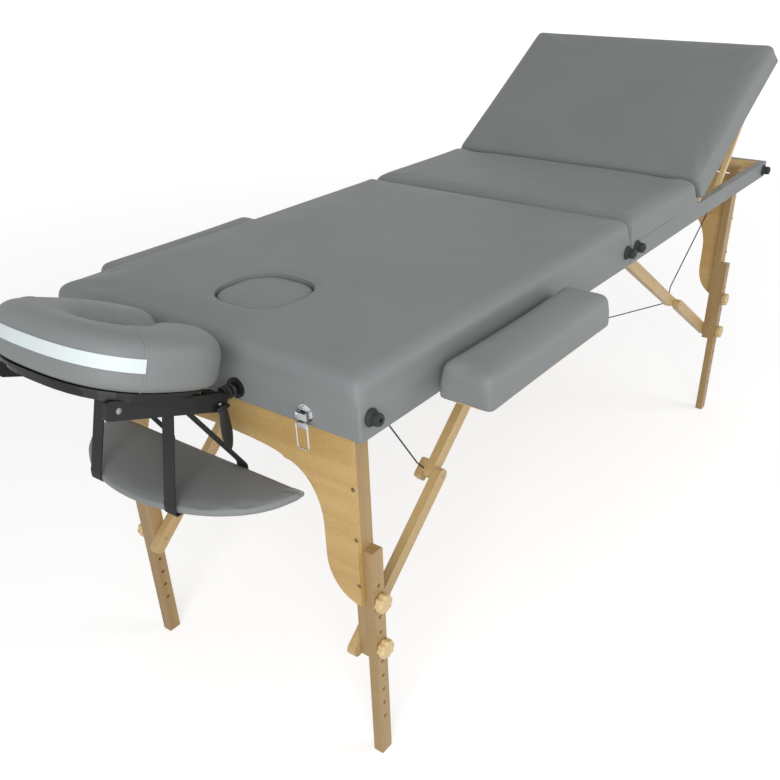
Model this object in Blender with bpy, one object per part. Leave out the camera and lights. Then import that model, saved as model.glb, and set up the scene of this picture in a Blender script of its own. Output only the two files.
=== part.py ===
"""Folding massage table with face cradle, arm shelf, armrests and lifting backrest.

Metres, Z up. The head end is at -X and the foot end at +X. Every piece is laid out about
the fold line at X 0, and the table is then moved so that the origin is under the middle
of its bounding box.
"""
import math

import bmesh
import bpy
from mathutils import Matrix, Vector

# Table top
TABLE_LENGTH = 1.86
TABLE_WIDTH = 0.71
FRAME_HEIGHT = 0.74
RAIL_HEIGHT = 0.040
RAIL_THICKNESS = 0.016
COVER_THICKNESS = 0.002
DECK_THICKNESS = 0.005
PAD_THICKNESS = 0.055
PAD_CROWN = 0.005
PAD_EDGE_RADIUS = 0.026
PAD_SIDE_PULL = 0.0015
FOLD_GAP = 0.003
CLEARANCE = 0.0003
CUT_OVERRUN = 0.01

# Shares of a pad's outer zone and height at its rows of points
PAD_INNER_ROW = 0.55
PAD_EDGE_ROW = 0.35
PAD_LEVELS = (-1.0, -0.72, -0.40, -0.05, 0.22, 0.45, 0.66, 0.85, 1.0)

# Breathing hole and its plug
PLUG_INSET = 0.185
PLUG_LENGTH = 0.156
PLUG_WIDTH = 0.164
PLUG_PLAN = 2.5
PLUG_RIM = 0.008
PLUG_GAP = 0.0006

# Leg sets
LEG_INSET = 0.067
LEG_DEPTH = 0.030
LEG_THICKNESS = 0.019
LEG_PIVOT_RISE = 0.0195
LEG_FOOT_MARGIN = 0.0235
PIVOT_RADIUS = 0.005
EXTENSION_LENGTH = 0.490
EXTENSION_THICKNESS = 0.0197
HOLE_PITCH = 0.0355
HOLE_COUNT = 10
TOP_HOLE_INSET = 0.075
UPPER_BOLT_HOLE = 1
LOWER_BOLT_HOLE = 4
BOLT_RADIUS = 0.004
KNOB_RADIUS = 0.019
KNOB_LOBE = 0.0017
KNOB_LOBES = 8
KNOB_THICKNESS = 0.016
KNOB_CLEARANCE = 0.0016
PANEL_THICKNESS = 0.010
PANEL_RISE = 0.003
PANEL_HEIGHT = 0.367
ARCH_HALF_WIDTH = 0.228
ARCH_BAND = 0.098
ARCH_BOW = 0.017
SHOULDER_WIDTH = 0.077
SHOULDER_HEIGHT = 0.108
LOBE_HEIGHT = 0.083

# Folding braces
HEAD_BRACE_OFFSET = 0.30
FOOT_BRACE_OFFSET = 0.08
ARM_WIDTH = 0.028
ARM_THICKNESS = 0.0175
ARM_TAIL = 0.023
RELIEF_START = 0.028
RELIEF_MIDDLE = 0.010
RELIEF_SHOULDER = 0.0045
RELIEF_DEPTH = 0.009
RELIEF_ANGLE = 12.0
BRACE_BLOCK_LENGTH = 0.050
BRACE_BLOCK_THICKNESS = 0.022

# Crossing cables
CABLE_RADIUS = 0.0015
CABLE_SIDE_INSET = 0.037
HEAD_EYE_INSET = 0.09
FOOT_EYE_INSET = 0.32
CABLE_CROSSING = 0.45
CABLE_SPACING = 0.004
CABLE_GUARD = 0.0448

# Centre hinge
HINGE_KNUCKLE_RADIUS = 0.004
HINGE_PIN_RADIUS = 0.002
HINGE_LEAF_WIDTH = 0.028
HINGE_LEAF_THICKNESS = 0.0018
HINGE_HALF_LENGTH = 0.230

# Backrest
BACKREST_HINGE_X = 0.40
BACKREST_ANGLE = 30.5
BACKREST_BARREL_RADIUS = 0.0026
BACKREST_PAD_GAP = 0.0125
PROP_PIVOT_REACH = 0.44
PROP_LENGTH = 0.31
PROP_ANGLE = 21.0
PROP_RADIUS = 0.006
PROP_THICKNESS = 0.012
PROP_RAIL_GAP = 0.0035
PROP_PIN_RADIUS = 0.0025
PROP_STRIP_REACH = 0.030
PROP_STRIP_WIDTH = 0.012
PROP_STRIP_THICKNESS = 0.003
EAR_LENGTH = 0.024
EAR_THICKNESS = 0.016
LEDGE_START = 0.125
LEDGE_LENGTH = 0.19
LEDGE_WIDTH = 0.0165
LEDGE_TEETH = 5

# Face cradle
ROD_RADIUS = 0.007
ROD_SPACING = 0.21
ROD_RISE = 0.022
ROD_INSERTION = 0.11
SOCKET_RADIUS = 0.010
SOCKET_DEPTH = 0.095
FLANGE_RADIUS = 0.017
FLANGE_THICKNESS = 0.006
CRADLE_REACH = 0.055
CRADLE_TILT = 20.0
HUB_RADIUS = 0.017
HUB_LENGTH = 0.018
AXLE_RADIUS = 0.005
AXLE_OVERHANG = 0.0012
CRADLE_ARM_GAP = 0.004
CRADLE_ARM_THICKNESS = 0.008
CRADLE_ARM_LENGTH = 0.205
CRADLE_ARM_HEEL = 0.015
CRADLE_ARM_RISE = 0.016
CRADLE_ARM_DROP = 0.012
PLATFORM_THICKNESS = 0.008
CUSHION_BOARD_THICKNESS = 0.005
CUSHION_THICKNESS = 0.074
CUSHION_LENGTH = 0.256
CUSHION_WIDTH = 0.31
CUSHION_OFFSET = 0.118
CUSHION_PLAN = 2.7
CUSHION_EDGE_RADIUS = 0.032
CUSHION_CROWN = 0.006
FACE_HOLE_LENGTH = 0.125
FACE_HOLE_WIDTH = 0.105
FACE_HOLE_PLAN = 2.0
FACE_SLOT_WIDTH = 0.052
BOARD_SHRINK = 0.006
PLATFORM_SHRINK = 0.018
LEVER_LENGTH = 0.072
LEVER_WIDTH = 0.017
LEVER_RADIUS = 0.004
LEVER_DROP = 0.004
LEVER_GAP = 0.0015

# Arm shelf
SHELF_BAR_REACH = 0.055
SHELF_BAR_DROP = 0.004
SHELF_BAR_RADIUS = 0.004
SHELF_DROP = 0.162
SHELF_THICKNESS = 0.012
SHELF_HALF_WIDTH = 0.228
SHELF_BACK = 0.108
SHELF_FRONT = 0.052
STRAP_WIDTH = 0.025
STRAP_THICKNESS = 0.0022
STRAP_INSET = 0.004
STRAP_SPACING = 0.157

# Armrests
ARMREST_START = 0.335
ARMREST_LENGTH = 0.42
ARMREST_WIDTH = 0.102
ARMREST_GAP = 0.011
ARMREST_RISE = 0.004
ARMREST_BOARD_THICKNESS = 0.013
ARMREST_BOARD_MARGIN = 0.004
ARMREST_PAD_THICKNESS = 0.047
ARMREST_EDGE_RADIUS = 0.018
PEG_RADIUS = 0.0045
PEG_INSET = 0.095

# Bumpers and latch
BUMPER_RADIUS = 0.0185
BUMPER_TIP_RADIUS = 0.009
BUMPER_LENGTH = 0.020
BUMPER_STEM_RADIUS = 0.003
BUMPER_RISE = 0.034
BUMPER_END_INSET = 0.024
LATCH_INSET = 0.105
LATCH_RISE = 0.020
LATCH_PLATE_RADIUS = 0.015
LATCH_PLATE_THICKNESS = 0.003
LATCH_EAR_REACH = 0.010
LATCH_EAR_THICKNESS = 0.002
LATCH_EAR_HEIGHT = 0.012
LEVER_PLATE_WIDTH = 0.018
LEVER_PLATE_THICKNESS = 0.003
LEVER_PLATE_HEIGHT = 0.022
BAIL_WIRE_RADIUS = 0.0013
BAIL_WIDTH = 0.022
BAIL_DROP = 0.046

# Heights and stations that follow from the sizes above
END_X = TABLE_LENGTH / 2
FRAME_X = END_X - COVER_THICKNESS
FRAME_Y = TABLE_WIDTH / 2 - COVER_THICKNESS
RAIL_Y = FRAME_Y - RAIL_THICKNESS
RAIL_TOP = FRAME_HEIGHT + RAIL_HEIGHT
DECK_BOTTOM = RAIL_TOP + CLEARANCE
DECK_TOP = DECK_BOTTOM + DECK_THICKNESS
PAD_BOTTOM = DECK_TOP + CLEARANCE
PAD_TOP = PAD_BOTTOM + PAD_THICKNESS
FOLD_X = FOLD_GAP / 2
LEG_X = END_X - LEG_INSET
PIVOT_Z = FRAME_HEIGHT + LEG_PIVOT_RISE
UPPER_BOLT_Z = EXTENSION_LENGTH - TOP_HOLE_INSET - UPPER_BOLT_HOLE * HOLE_PITCH
LOWER_BOLT_Z = EXTENSION_LENGTH - TOP_HOLE_INSET - LOWER_BOLT_HOLE * HOLE_PITCH
KNOB_OUT = RAIL_Y - KNOB_CLEARANCE
KNOB_IN = KNOB_OUT - KNOB_THICKNESS
EXTENSION_OUT = KNOB_IN - CLEARANCE
EXTENSION_IN = EXTENSION_OUT - EXTENSION_THICKNESS
LEG_OUT = EXTENSION_IN - CLEARANCE
LEG_IN = LEG_OUT - LEG_THICKNESS
LOWER_ARM_OUT = LEG_IN - CLEARANCE
LOWER_ARM_IN = LOWER_ARM_OUT - ARM_THICKNESS
UPPER_ARM_OUT = LOWER_ARM_IN - CLEARANCE
UPPER_ARM_IN = UPPER_ARM_OUT - ARM_THICKNESS
BLOCK_OUT = UPPER_ARM_IN - CLEARANCE
BLOCK_IN = BLOCK_OUT - BRACE_BLOCK_THICKNESS
HINGE_Z = FRAME_HEIGHT - CLEARANCE - HINGE_KNUCKLE_RADIUS
BACKREST_HINGE_Z = DECK_BOTTOM + DECK_THICKNESS / 2
BACKREST_EDGE = BACKREST_BARREL_RADIUS + CLEARANCE
PROP_OUT = RAIL_Y - PROP_RAIL_GAP
PROP_IN = PROP_OUT - PROP_THICKNESS
PROP_PIVOT_X = BACKREST_HINGE_X + PROP_PIVOT_REACH
PROP_PIVOT_Z = DECK_BOTTOM - CLEARANCE - PROP_RADIUS
CRADLE_X = -END_X - CRADLE_REACH
CRADLE_Z = FRAME_HEIGHT + ROD_RISE
HUB_OUT = ROD_SPACING / 2 + HUB_LENGTH / 2
CRADLE_ARM_IN = HUB_OUT + CRADLE_ARM_GAP
CRADLE_ARM_OUT = CRADLE_ARM_IN + CRADLE_ARM_THICKNESS
PLATFORM_TOP = CRADLE_Z + CRADLE_ARM_RISE + PLATFORM_THICKNESS
CUSHION_X = CRADLE_X - CUSHION_OFFSET
SHELF_BAR_X = CRADLE_X - SHELF_BAR_REACH
SHELF_BAR_Z = CRADLE_Z - SHELF_BAR_DROP
SHELF_TOP = SHELF_BAR_Z - SHELF_DROP
PLUG_X = -END_X + PLUG_INSET
LATCH_Y = TABLE_WIDTH / 2 - LATCH_INSET

# Linear colour, roughness and metallic value of each finish
VINYL = ((0.205, 0.212, 0.212), 0.55, 0.0)
PALE_WOOD = ((0.48, 0.34, 0.15), 0.45, 0.0)
LEG_WOOD = ((0.38, 0.25, 0.12), 0.45, 0.0)
PLYWOOD = ((0.52, 0.40, 0.24), 0.6, 0.0)
BLACK_PLASTIC = ((0.015, 0.015, 0.016), 0.4, 0.0)
RUBBER = ((0.012, 0.012, 0.012), 0.8, 0.0)
BLACK_STEEL = ((0.02, 0.02, 0.022), 0.35, 0.8)
STEEL = ((0.45, 0.45, 0.46), 0.35, 1.0)
CHROME = ((0.7, 0.7, 0.72), 0.15, 1.0)

for existing in list(bpy.data.objects):
    bpy.data.objects.remove(existing, do_unlink=True)

PIECES = bpy.data.collections.new("massage_table")
CUTTERS = bpy.data.collections.new("cutters")
bpy.context.scene.collection.children.link(PIECES)
bpy.context.scene.collection.children.link(CUTTERS)

# Turns that stand a flat outline across each axis
ACROSS = {
    "X": Matrix(((0, 0, 1, 0), (1, 0, 0, 0), (0, 1, 0, 0), (0, 0, 0, 1))),
    "Y": Matrix(((1, 0, 0, 0), (0, 0, -1, 0), (0, 1, 0, 0), (0, 0, 0, 1))),
    "Z": Matrix.Identity(4),
}
AXIS = {"X": Vector((1, 0, 0)), "Y": Vector((0, 1, 0)), "Z": Vector((0, 0, 1))}


class Pivot:
    """Empty on a joint's axis that carries the pieces moving with it."""

    def __init__(self, name, origin, carrier=None, turn=0.0):
        self.origin = Vector(origin)
        self.empty = bpy.data.objects.new(name, None)
        self.empty.location = self.origin
        PIECES.objects.link(self.empty)
        if carrier:
            self.empty.parent = carrier.empty
            self.empty.location = self.origin - carrier.origin
        self.empty.rotation_euler = (0.0, math.radians(turn), 0.0)


def circle(x, y, radius, count=12, radius_y=None):
    """Outline of a circle, or of an ellipse when a second radius is given."""
    tall = radius if radius_y is None else radius_y
    steps = [2 * math.pi * i / count for i in range(count)]
    return [(x + radius * math.cos(a), y + tall * math.sin(a)) for a in steps]


def oval(x, y, half_x, half_y, power, count=40):
    """Outline of a superellipse."""
    points = []
    for i in range(count):
        a = 2 * math.pi * i / count
        c, s = math.cos(a), math.sin(a)
        scale = (abs(c) ** power + abs(s) ** power) ** (-1 / power)
        points.append((x + half_x * c * scale, y + half_y * s * scale))
    return points


def rectangle(x0, y0, x1, y1, radius=0.0, count=4):
    """Outline of a rectangle, with round corners when a radius is given."""
    if radius <= 0:
        return [(x0, y0), (x1, y0), (x1, y1), (x0, y1)]
    corners = [(x1 - radius, y1 - radius), (x0 + radius, y1 - radius),
               (x0 + radius, y0 + radius), (x1 - radius, y0 + radius)]
    points = []
    for quarter, (cx, cy) in enumerate(corners):
        points += arc(cx, cy, radius, radius, 90 * quarter, 90 * quarter + 90, count)
    return points


def arc(x, y, radius_x, radius_y, start, end, count):
    """Points along an elliptical arc between two angles in degrees."""
    steps = [math.radians(start + (end - start) * i / count) for i in range(count + 1)]
    return [(x + radius_x * math.cos(a), y + radius_y * math.sin(a)) for a in steps]


def bar(start, end, radius, count=8):
    """Outline of a bar with round ends between two points."""
    heading = math.degrees(math.atan2(end[1] - start[1], end[0] - start[0]))
    far = arc(end[0], end[1], radius, radius, heading - 90, heading + 90, count)
    near = arc(start[0], start[1], radius, radius, heading + 90, heading + 270, count)
    return far + near


def curve_solid(curve):
    """Closed solid made from a curve's own surface."""
    holder = bpy.data.objects.new(curve.name, curve)
    mesh = bpy.data.meshes.new_from_object(holder)
    solid = bmesh.new()
    solid.from_mesh(mesh)
    bmesh.ops.remove_doubles(solid, verts=solid.verts, dist=1e-6)
    bmesh.ops.recalc_face_normals(solid, faces=solid.faces)
    bpy.data.objects.remove(holder)
    bpy.data.meshes.remove(mesh)
    bpy.data.curves.remove(curve)
    return solid


def plate(axis, outlines, low, high):
    """Flat plate between two stations of an axis; outlines after the first are holes."""
    curve = bpy.data.curves.new("outline", "CURVE")
    curve.dimensions = "2D"
    curve.fill_mode = "BOTH"
    curve.extrude = (high - low) / 2
    for outline in outlines:
        spline = curve.splines.new("POLY")
        spline.points.add(len(outline) - 1)
        for point, (u, v) in zip(spline.points, outline):
            point.co = (u, v, 0.0, 1.0)
        spline.use_cyclic_u = True
    solid = curve_solid(curve)
    solid.transform(Matrix.Translation(AXIS[axis] * (low + high) / 2) @ ACROSS[axis])
    return solid


def wire(points, radius, closed=False):
    """Round wire or cable along a path."""
    curve = bpy.data.curves.new("path", "CURVE")
    curve.dimensions = "3D"
    curve.bevel_depth = radius
    curve.bevel_resolution = 1
    curve.use_fill_caps = True
    spline = curve.splines.new("POLY")
    spline.points.add(len(points) - 1)
    for point, place in zip(spline.points, points):
        point.co = (*place, 1.0)
    spline.use_cyclic_u = closed
    return curve_solid(curve)


def block(low, high):
    """Rectangular block between two corners."""
    solid = bmesh.new()
    low, high = Vector(low), Vector(high)
    bmesh.ops.create_cube(solid, size=1.0)
    size = Matrix.Diagonal((*(high - low), 1.0))
    solid.transform(Matrix.Translation((low + high) / 2) @ size)
    return solid


def side_block(x0, x1, y0, y1, z0, z1, side):
    """Rectangular block on one long side of the table."""
    return block((x0, min(side * y0, side * y1), z0), (x1, max(side * y0, side * y1), z1))


def rod(start, end, radius, tip_radius=None, count=16):
    """Cylinder, or cone, between two points."""
    start, end = Vector(start), Vector(end)
    solid = bmesh.new()
    tip = radius if tip_radius is None else tip_radius
    bmesh.ops.create_cone(solid, cap_ends=True, segments=count, radius1=radius,
                          radius2=tip, depth=(end - start).length)
    turn = (end - start).to_track_quat("Z", "Y").to_matrix().to_4x4()
    solid.transform(Matrix.Translation((start + end) / 2) @ turn)
    return solid


def side_plate(outlines, y0, y1, side):
    """Flat plate across Y on one long side of the table."""
    return plate("Y", outlines, min(side * y0, side * y1), max(side * y0, side * y1))


def pillow(low, high, radius, crown, power=None, cuts=7):
    """Stuffed pad: flat below, round upper edges, crowned top and drawn-in sides.

    A power gives the pad the plan of a superellipse in place of a rectangle.
    """
    low, high = Vector(low), Vector(high)
    middle, half = (low + high) / 2, (high - low) / 2
    solid = bmesh.new()
    bmesh.ops.create_cube(solid, size=2.0)
    bmesh.ops.subdivide_edges(solid, edges=solid.edges, cuts=cuts, use_grid_fill=True)
    reach = min(half.x, half.y)
    start, edge = 1 - radius / reach, 1 - PAD_EDGE_ROW * radius / reach
    flat = [0.0, start * PAD_INNER_ROW, start, edge, 1.0]
    for vert in solid.verts:
        steps = [round((value + 1) * (cuts + 1) / 2) for value in vert.co]
        x, y = (math.copysign(flat[abs(i - 4)], i - 4) for i in steps[:2])
        across, height = max(abs(x), abs(y)), (PAD_LEVELS[steps[2]] + 1) / 2
        over = max(0.0, across * reach - (reach - radius))
        rise = max(0.0, height * 2 * half.z - (2 * half.z - radius))
        if over > 0 and rise > 0:
            shrink = radius / math.hypot(over, rise)
            shrunk = ((reach - radius) + over * shrink) / reach
            x, y = x * shrunk / across, y * shrunk / across
            height = (2 * half.z - radius + rise * shrink) / (2 * half.z)
        if power and across > 0:
            longest = max(abs(x), abs(y))
            scale = longest / (abs(x) ** power + abs(y) ** power) ** (1 / power)
            x, y = x * scale, y * scale
        dome = crown * height * (1 - x * x) * (1 - y * y)
        drawn = PAD_SIDE_PULL * (1 - height) ** 2
        pull_x = drawn + PAD_SIDE_PULL * (1 - y * y) * height
        pull_y = drawn + PAD_SIDE_PULL * (1 - x * x) * height
        vert.co = (middle.x + x * (half.x - pull_x), middle.y + y * (half.y - pull_y),
                   low.z + height * 2 * half.z + dome)
    return solid


def paint(obj, finish):
    """Give a piece a material of its own."""
    colour, roughness, metallic = finish
    material = bpy.data.materials.new(obj.name)
    material.use_nodes = True
    shader = material.node_tree.nodes["Principled BSDF"]
    shader.inputs["Base Color"].default_value = (*colour, 1.0)
    shader.inputs["Roughness"].default_value = roughness
    shader.inputs["Metallic"].default_value = metallic
    obj.data.materials.append(material)


def place(name, solid, carrier, group):
    """Object of a solid, carried by a pivot."""
    if solid.calc_volume(signed=True) < 0:
        bmesh.ops.reverse_faces(solid, faces=solid.faces)
    solid.transform(Matrix.Translation(-carrier.origin))
    mesh = bpy.data.meshes.new(name)
    solid.to_mesh(mesh)
    solid.free()
    obj = bpy.data.objects.new(name, mesh)
    group.objects.link(obj)
    obj.parent = carrier.empty
    return obj


def piece(name, solid, carrier, finish, joined=(), cut=()):
    """Finished piece, with further solids joined to it and then holes cut in it."""
    obj = place(name, solid, carrier, PIECES)
    paint(obj, finish)
    for operation, tools in (("UNION", joined), ("DIFFERENCE", cut)):
        for tool in tools:
            other = place(name + "_tool", tool, carrier, CUTTERS)
            other.hide_render = True
            other.display_type = "WIRE"
            change = obj.modifiers.new(operation.title(), "BOOLEAN")
            change.operation = operation
            change.solver = "EXACT"
            change.object = other
    return obj


def brace(offset):
    """Upper length, lower length and slope of a brace that folds flat with its legs."""
    reach, drop = LEG_X - offset, PIVOT_Z - LOWER_BOLT_Z
    span = math.hypot(reach, drop)
    return (span + reach - drop) / 2, (span - reach + drop) / 2, math.atan2(drop, reach)


def prop_tip(angle):
    """Place of the prop's tip for a backrest raised by an angle in degrees."""
    lift = math.radians(angle)
    swing = lift + math.radians(angle * PROP_ANGLE / BACKREST_ANGLE)
    fall = PROP_PIVOT_Z - BACKREST_HINGE_Z
    x = BACKREST_HINGE_X + PROP_PIVOT_REACH * math.cos(lift) - fall * math.sin(lift)
    z = BACKREST_HINGE_Z + PROP_PIVOT_REACH * math.sin(lift) + fall * math.cos(lift)
    return x - PROP_LENGTH * math.cos(swing), z - PROP_LENGTH * math.sin(swing)


def frame_ring(x0, x1):
    """Four rails of one half, as one glued frame."""
    outer = rectangle(x0, -FRAME_Y, x1, FRAME_Y)
    inner = rectangle(x0 + RAIL_THICKNESS, -RAIL_Y, x1 - RAIL_THICKNESS, RAIL_Y)
    return plate("Z", [outer, inner], FRAME_HEIGHT, RAIL_TOP)


def leg_studs(x):
    """Studs in the side rails that the legs turn on."""
    inside = RAIL_Y + RAIL_THICKNESS / 2
    return [rod((x, side * inside, PIVOT_Z), (x, side * LEG_IN, PIVOT_Z), PIVOT_RADIUS)
            for side in (-1, 1)]


def brace_blocks(x):
    """Blocks under a deck, with the studs of the upper brace arms."""
    solids = []
    half = BRACE_BLOCK_LENGTH / 2
    for side in (-1, 1):
        solids.append(side_block(x - half, x + half, BLOCK_IN, BLOCK_OUT,
                                 PIVOT_Z - ARM_WIDTH / 2, DECK_BOTTOM + DECK_THICKNESS / 2,
                                 side))
        middle = (BLOCK_IN + BLOCK_OUT) / 2
        solids.append(rod((x, side * middle, PIVOT_Z), (x, side * UPPER_ARM_OUT, PIVOT_Z),
                          PIVOT_RADIUS))
    return solids


def hinge_leaf(end):
    """Leaf of the centre hinge with its own two knuckles."""
    low, high = FRAME_HEIGHT - CLEARANCE - HINGE_LEAF_THICKNESS, FRAME_HEIGHT - CLEARANCE
    near, length = end * (HINGE_KNUCKLE_RADIUS + 2 * CLEARANCE), HINGE_HALF_LENGTH
    far, tab = near + end * HINGE_LEAF_WIDTH, end * HINGE_KNUCKLE_RADIUS / 2
    outline = [(far, length), (far, -length), (near, -length)]
    joined, cut = [], []
    for part in range(4):
        if (part % 2 == 0) != (end < 0):
            continue
        y0 = length * (part / 2 - 1) + CLEARANCE
        y1 = length * ((part + 1) / 2 - 1) - CLEARANCE
        outline += [(near, y0), (tab, y0), (tab, y1), (near, y1)]
        joined.append(rod((0, y0, HINGE_Z), (0, y1, HINGE_Z), HINGE_KNUCKLE_RADIUS))
        cut.append(rod((0, y0 - CLEARANCE, HINGE_Z), (0, y1 + CLEARANCE, HINGE_Z),
                       HINGE_PIN_RADIUS + CLEARANCE))
    return plate("Z", [outline + [(near, length)]], low, high), joined, cut


def bumper(name, x, rise, carrier):
    """Rubber bumper on the right side rail."""
    z, face = FRAME_HEIGHT + rise, -FRAME_Y - COVER_THICKNESS - CLEARANCE
    cone = rod((x, face, z), (x, face - BUMPER_LENGTH, z), BUMPER_RADIUS, BUMPER_TIP_RADIUS)
    stem = rod((x, face - BUMPER_LENGTH / 2, z), (x, -FRAME_Y - CLEARANCE, z),
               BUMPER_STEM_RADIUS)
    piece(name, cone, carrier, RUBBER, joined=[stem])


def build_head_half(root):
    """Fixed half: frame, deck, pad, rod sockets, bumpers and the plug's hole."""
    pegs = []
    for side in (-1, 1):
        for x in peg_stations():
            pegs.append(rod((x, side * (RAIL_Y - CUT_OVERRUN), peg_height()),
                            (x, side * (FRAME_Y + CUT_OVERRUN), peg_height()),
                            PEG_RADIUS + CLEARANCE))
    rods = [rod((-FRAME_X - CUT_OVERRUN, y, CRADLE_Z),
                (-FRAME_X + RAIL_THICKNESS + CUT_OVERRUN, y, CRADLE_Z),
                SOCKET_RADIUS + CLEARANCE) for y in rod_stations()]
    piece("head_frame", frame_ring(-FRAME_X, -FOLD_X), root, PALE_WOOD,
          joined=leg_studs(-LEG_X), cut=pegs + rods)
    deck_hole = oval(PLUG_X, 0, PLUG_LENGTH / 2 - PLUG_RIM, PLUG_WIDTH / 2 - PLUG_RIM, PLUG_PLAN)
    deck = plate("Z", [rectangle(-FRAME_X, -FRAME_Y, -FOLD_X, FRAME_Y), deck_hole],
                 DECK_BOTTOM, DECK_TOP)
    piece("head_deck", deck, root, PLYWOOD, joined=brace_blocks(-HEAD_BRACE_OFFSET))
    pad = pillow((-END_X, -TABLE_WIDTH / 2, PAD_BOTTOM), (-FOLD_X, TABLE_WIDTH / 2, PAD_TOP),
                 PAD_EDGE_RADIUS, PAD_CROWN)
    hole = oval(PLUG_X, 0, PLUG_LENGTH / 2 + PLUG_GAP, PLUG_WIDTH / 2 + PLUG_GAP, PLUG_PLAN)
    cutter = plate("Z", [hole], PAD_BOTTOM - CUT_OVERRUN, PAD_TOP + PAD_CROWN + CUT_OVERRUN)
    piece("head_pad", pad, root, VINYL, cut=[cutter])
    sockets(root)
    bumper("head_bumper_outer", -END_X + BUMPER_END_INSET, BUMPER_RISE, root)
    bumper("head_bumper_fold", -BUMPER_END_INSET, BUMPER_RISE, root)
    leaf, joined, cut = hinge_leaf(-1)
    piece("head_hinge_leaf", leaf, root, STEEL, joined, cut)
    pin = rod((0, -HINGE_HALF_LENGTH, HINGE_Z), (0, HINGE_HALF_LENGTH, HINGE_Z), HINGE_PIN_RADIUS)
    piece("centre_hinge_pin", pin, root, STEEL)


def rod_stations():
    """Y of the two cradle rods."""
    return -ROD_SPACING / 2, ROD_SPACING / 2


def peg_stations():
    """X of an armrest's two pegs."""
    return (-ARMREST_START - PEG_INSET, -ARMREST_START - ARMREST_LENGTH + PEG_INSET)


def peg_height():
    """Height of the armrest pegs."""
    return FRAME_HEIGHT + ARMREST_RISE + ARMREST_BOARD_THICKNESS / 2


def sockets(root):
    """Two flanged tubes in the head rail that take the cradle's rods."""
    face, z = -FRAME_X - CLEARANCE, CRADLE_Z
    inner = face + SOCKET_DEPTH
    bridge = block((-FRAME_X + RAIL_THICKNESS + CLEARANCE, -ROD_SPACING / 2, z - SOCKET_RADIUS / 2),
                   (-FRAME_X + 2 * RAIL_THICKNESS, ROD_SPACING / 2, z + SOCKET_RADIUS / 2))
    joined, cut = [], []
    for y in rod_stations():
        joined.append(rod((face - FLANGE_THICKNESS / 2, y, z), (inner, y, z), SOCKET_RADIUS))
        joined.append(rod((face - FLANGE_THICKNESS, y, z), (face, y, z), FLANGE_RADIUS))
        cut.append(rod((face - 2 * FLANGE_THICKNESS, y, z), (inner + CUT_OVERRUN, y, z),
                       ROD_RADIUS + CLEARANCE))
    piece("rod_sockets", bridge, root, BLACK_PLASTIC, joined, cut)


def build_foot_half(half):
    """Half that folds under: frame with prop ledges, deck, pad, bumpers and hinge."""
    joined = leg_studs(LEG_X)
    path = [prop_tip(BACKREST_ANGLE * i / 20) for i in range(28)]
    ledge_top = min(z for _, z in path) - PROP_RADIUS - CLEARANCE
    start = BACKREST_HINGE_X + LEDGE_START
    for side in (-1, 1):
        inner, outer = RAIL_Y - LEDGE_WIDTH, RAIL_Y + RAIL_THICKNESS / 2
        joined.append(side_block(start, start + LEDGE_LENGTH, inner, outer, FRAME_HEIGHT,
                                 ledge_top - DECK_THICKNESS / 2, side))
        for tooth in range(LEDGE_TEETH):
            x = start + LEDGE_LENGTH * (tooth + 0.5) / LEDGE_TEETH
            joined.append(side_block(x, x + LEDGE_WIDTH / 3, inner + CLEARANCE, outer,
                                     FRAME_HEIGHT + RAIL_HEIGHT / 20, ledge_top, side))
    joined += keeper()
    piece("foot_frame", frame_ring(FOLD_X, FRAME_X), half, PALE_WOOD, joined=joined)
    edge = BACKREST_HINGE_X - BACKREST_EDGE
    deck = plate("Z", [rectangle(FOLD_X, -FRAME_Y, edge, FRAME_Y)], DECK_BOTTOM, DECK_TOP)
    piece("foot_deck", deck, half, PLYWOOD, joined=brace_blocks(FOOT_BRACE_OFFSET))
    pad = pillow((FOLD_X, -TABLE_WIDTH / 2, PAD_BOTTOM),
                 (BACKREST_HINGE_X - BACKREST_PAD_GAP, TABLE_WIDTH / 2, PAD_TOP),
                 PAD_EDGE_RADIUS, PAD_CROWN)
    piece("foot_pad", pad, half, VINYL)
    bumper("foot_bumper_fold", BUMPER_END_INSET, BUMPER_RISE, half)
    bumper("foot_bumper_outer", END_X - BUMPER_END_INSET, RAIL_HEIGHT / 2, half)
    leaf, joined, cut = hinge_leaf(1)
    piece("foot_hinge_leaf", leaf, half, STEEL, joined, cut)
    barrel = rod((BACKREST_HINGE_X, -RAIL_Y, BACKREST_HINGE_Z),
                 (BACKREST_HINGE_X, RAIL_Y, BACKREST_HINGE_Z), BACKREST_BARREL_RADIUS)
    piece("backrest_hinge", barrel, half, STEEL)


def keeper():
    """Hook on the foot rail that the latch bail goes over."""
    z, y = FRAME_HEIGHT + LATCH_RISE, -LATCH_Y
    wide, deep = LEVER_PLATE_WIDTH / 2, LATCH_EAR_REACH / 2
    hook = block((FRAME_X - deep, y - wide, z - deep), (FRAME_X + deep, y + wide, z))
    lip = block((FRAME_X + deep / 2, y - wide, z - deep / 2), (FRAME_X + deep, y + wide, z + deep))
    return [hook, lip]


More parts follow.
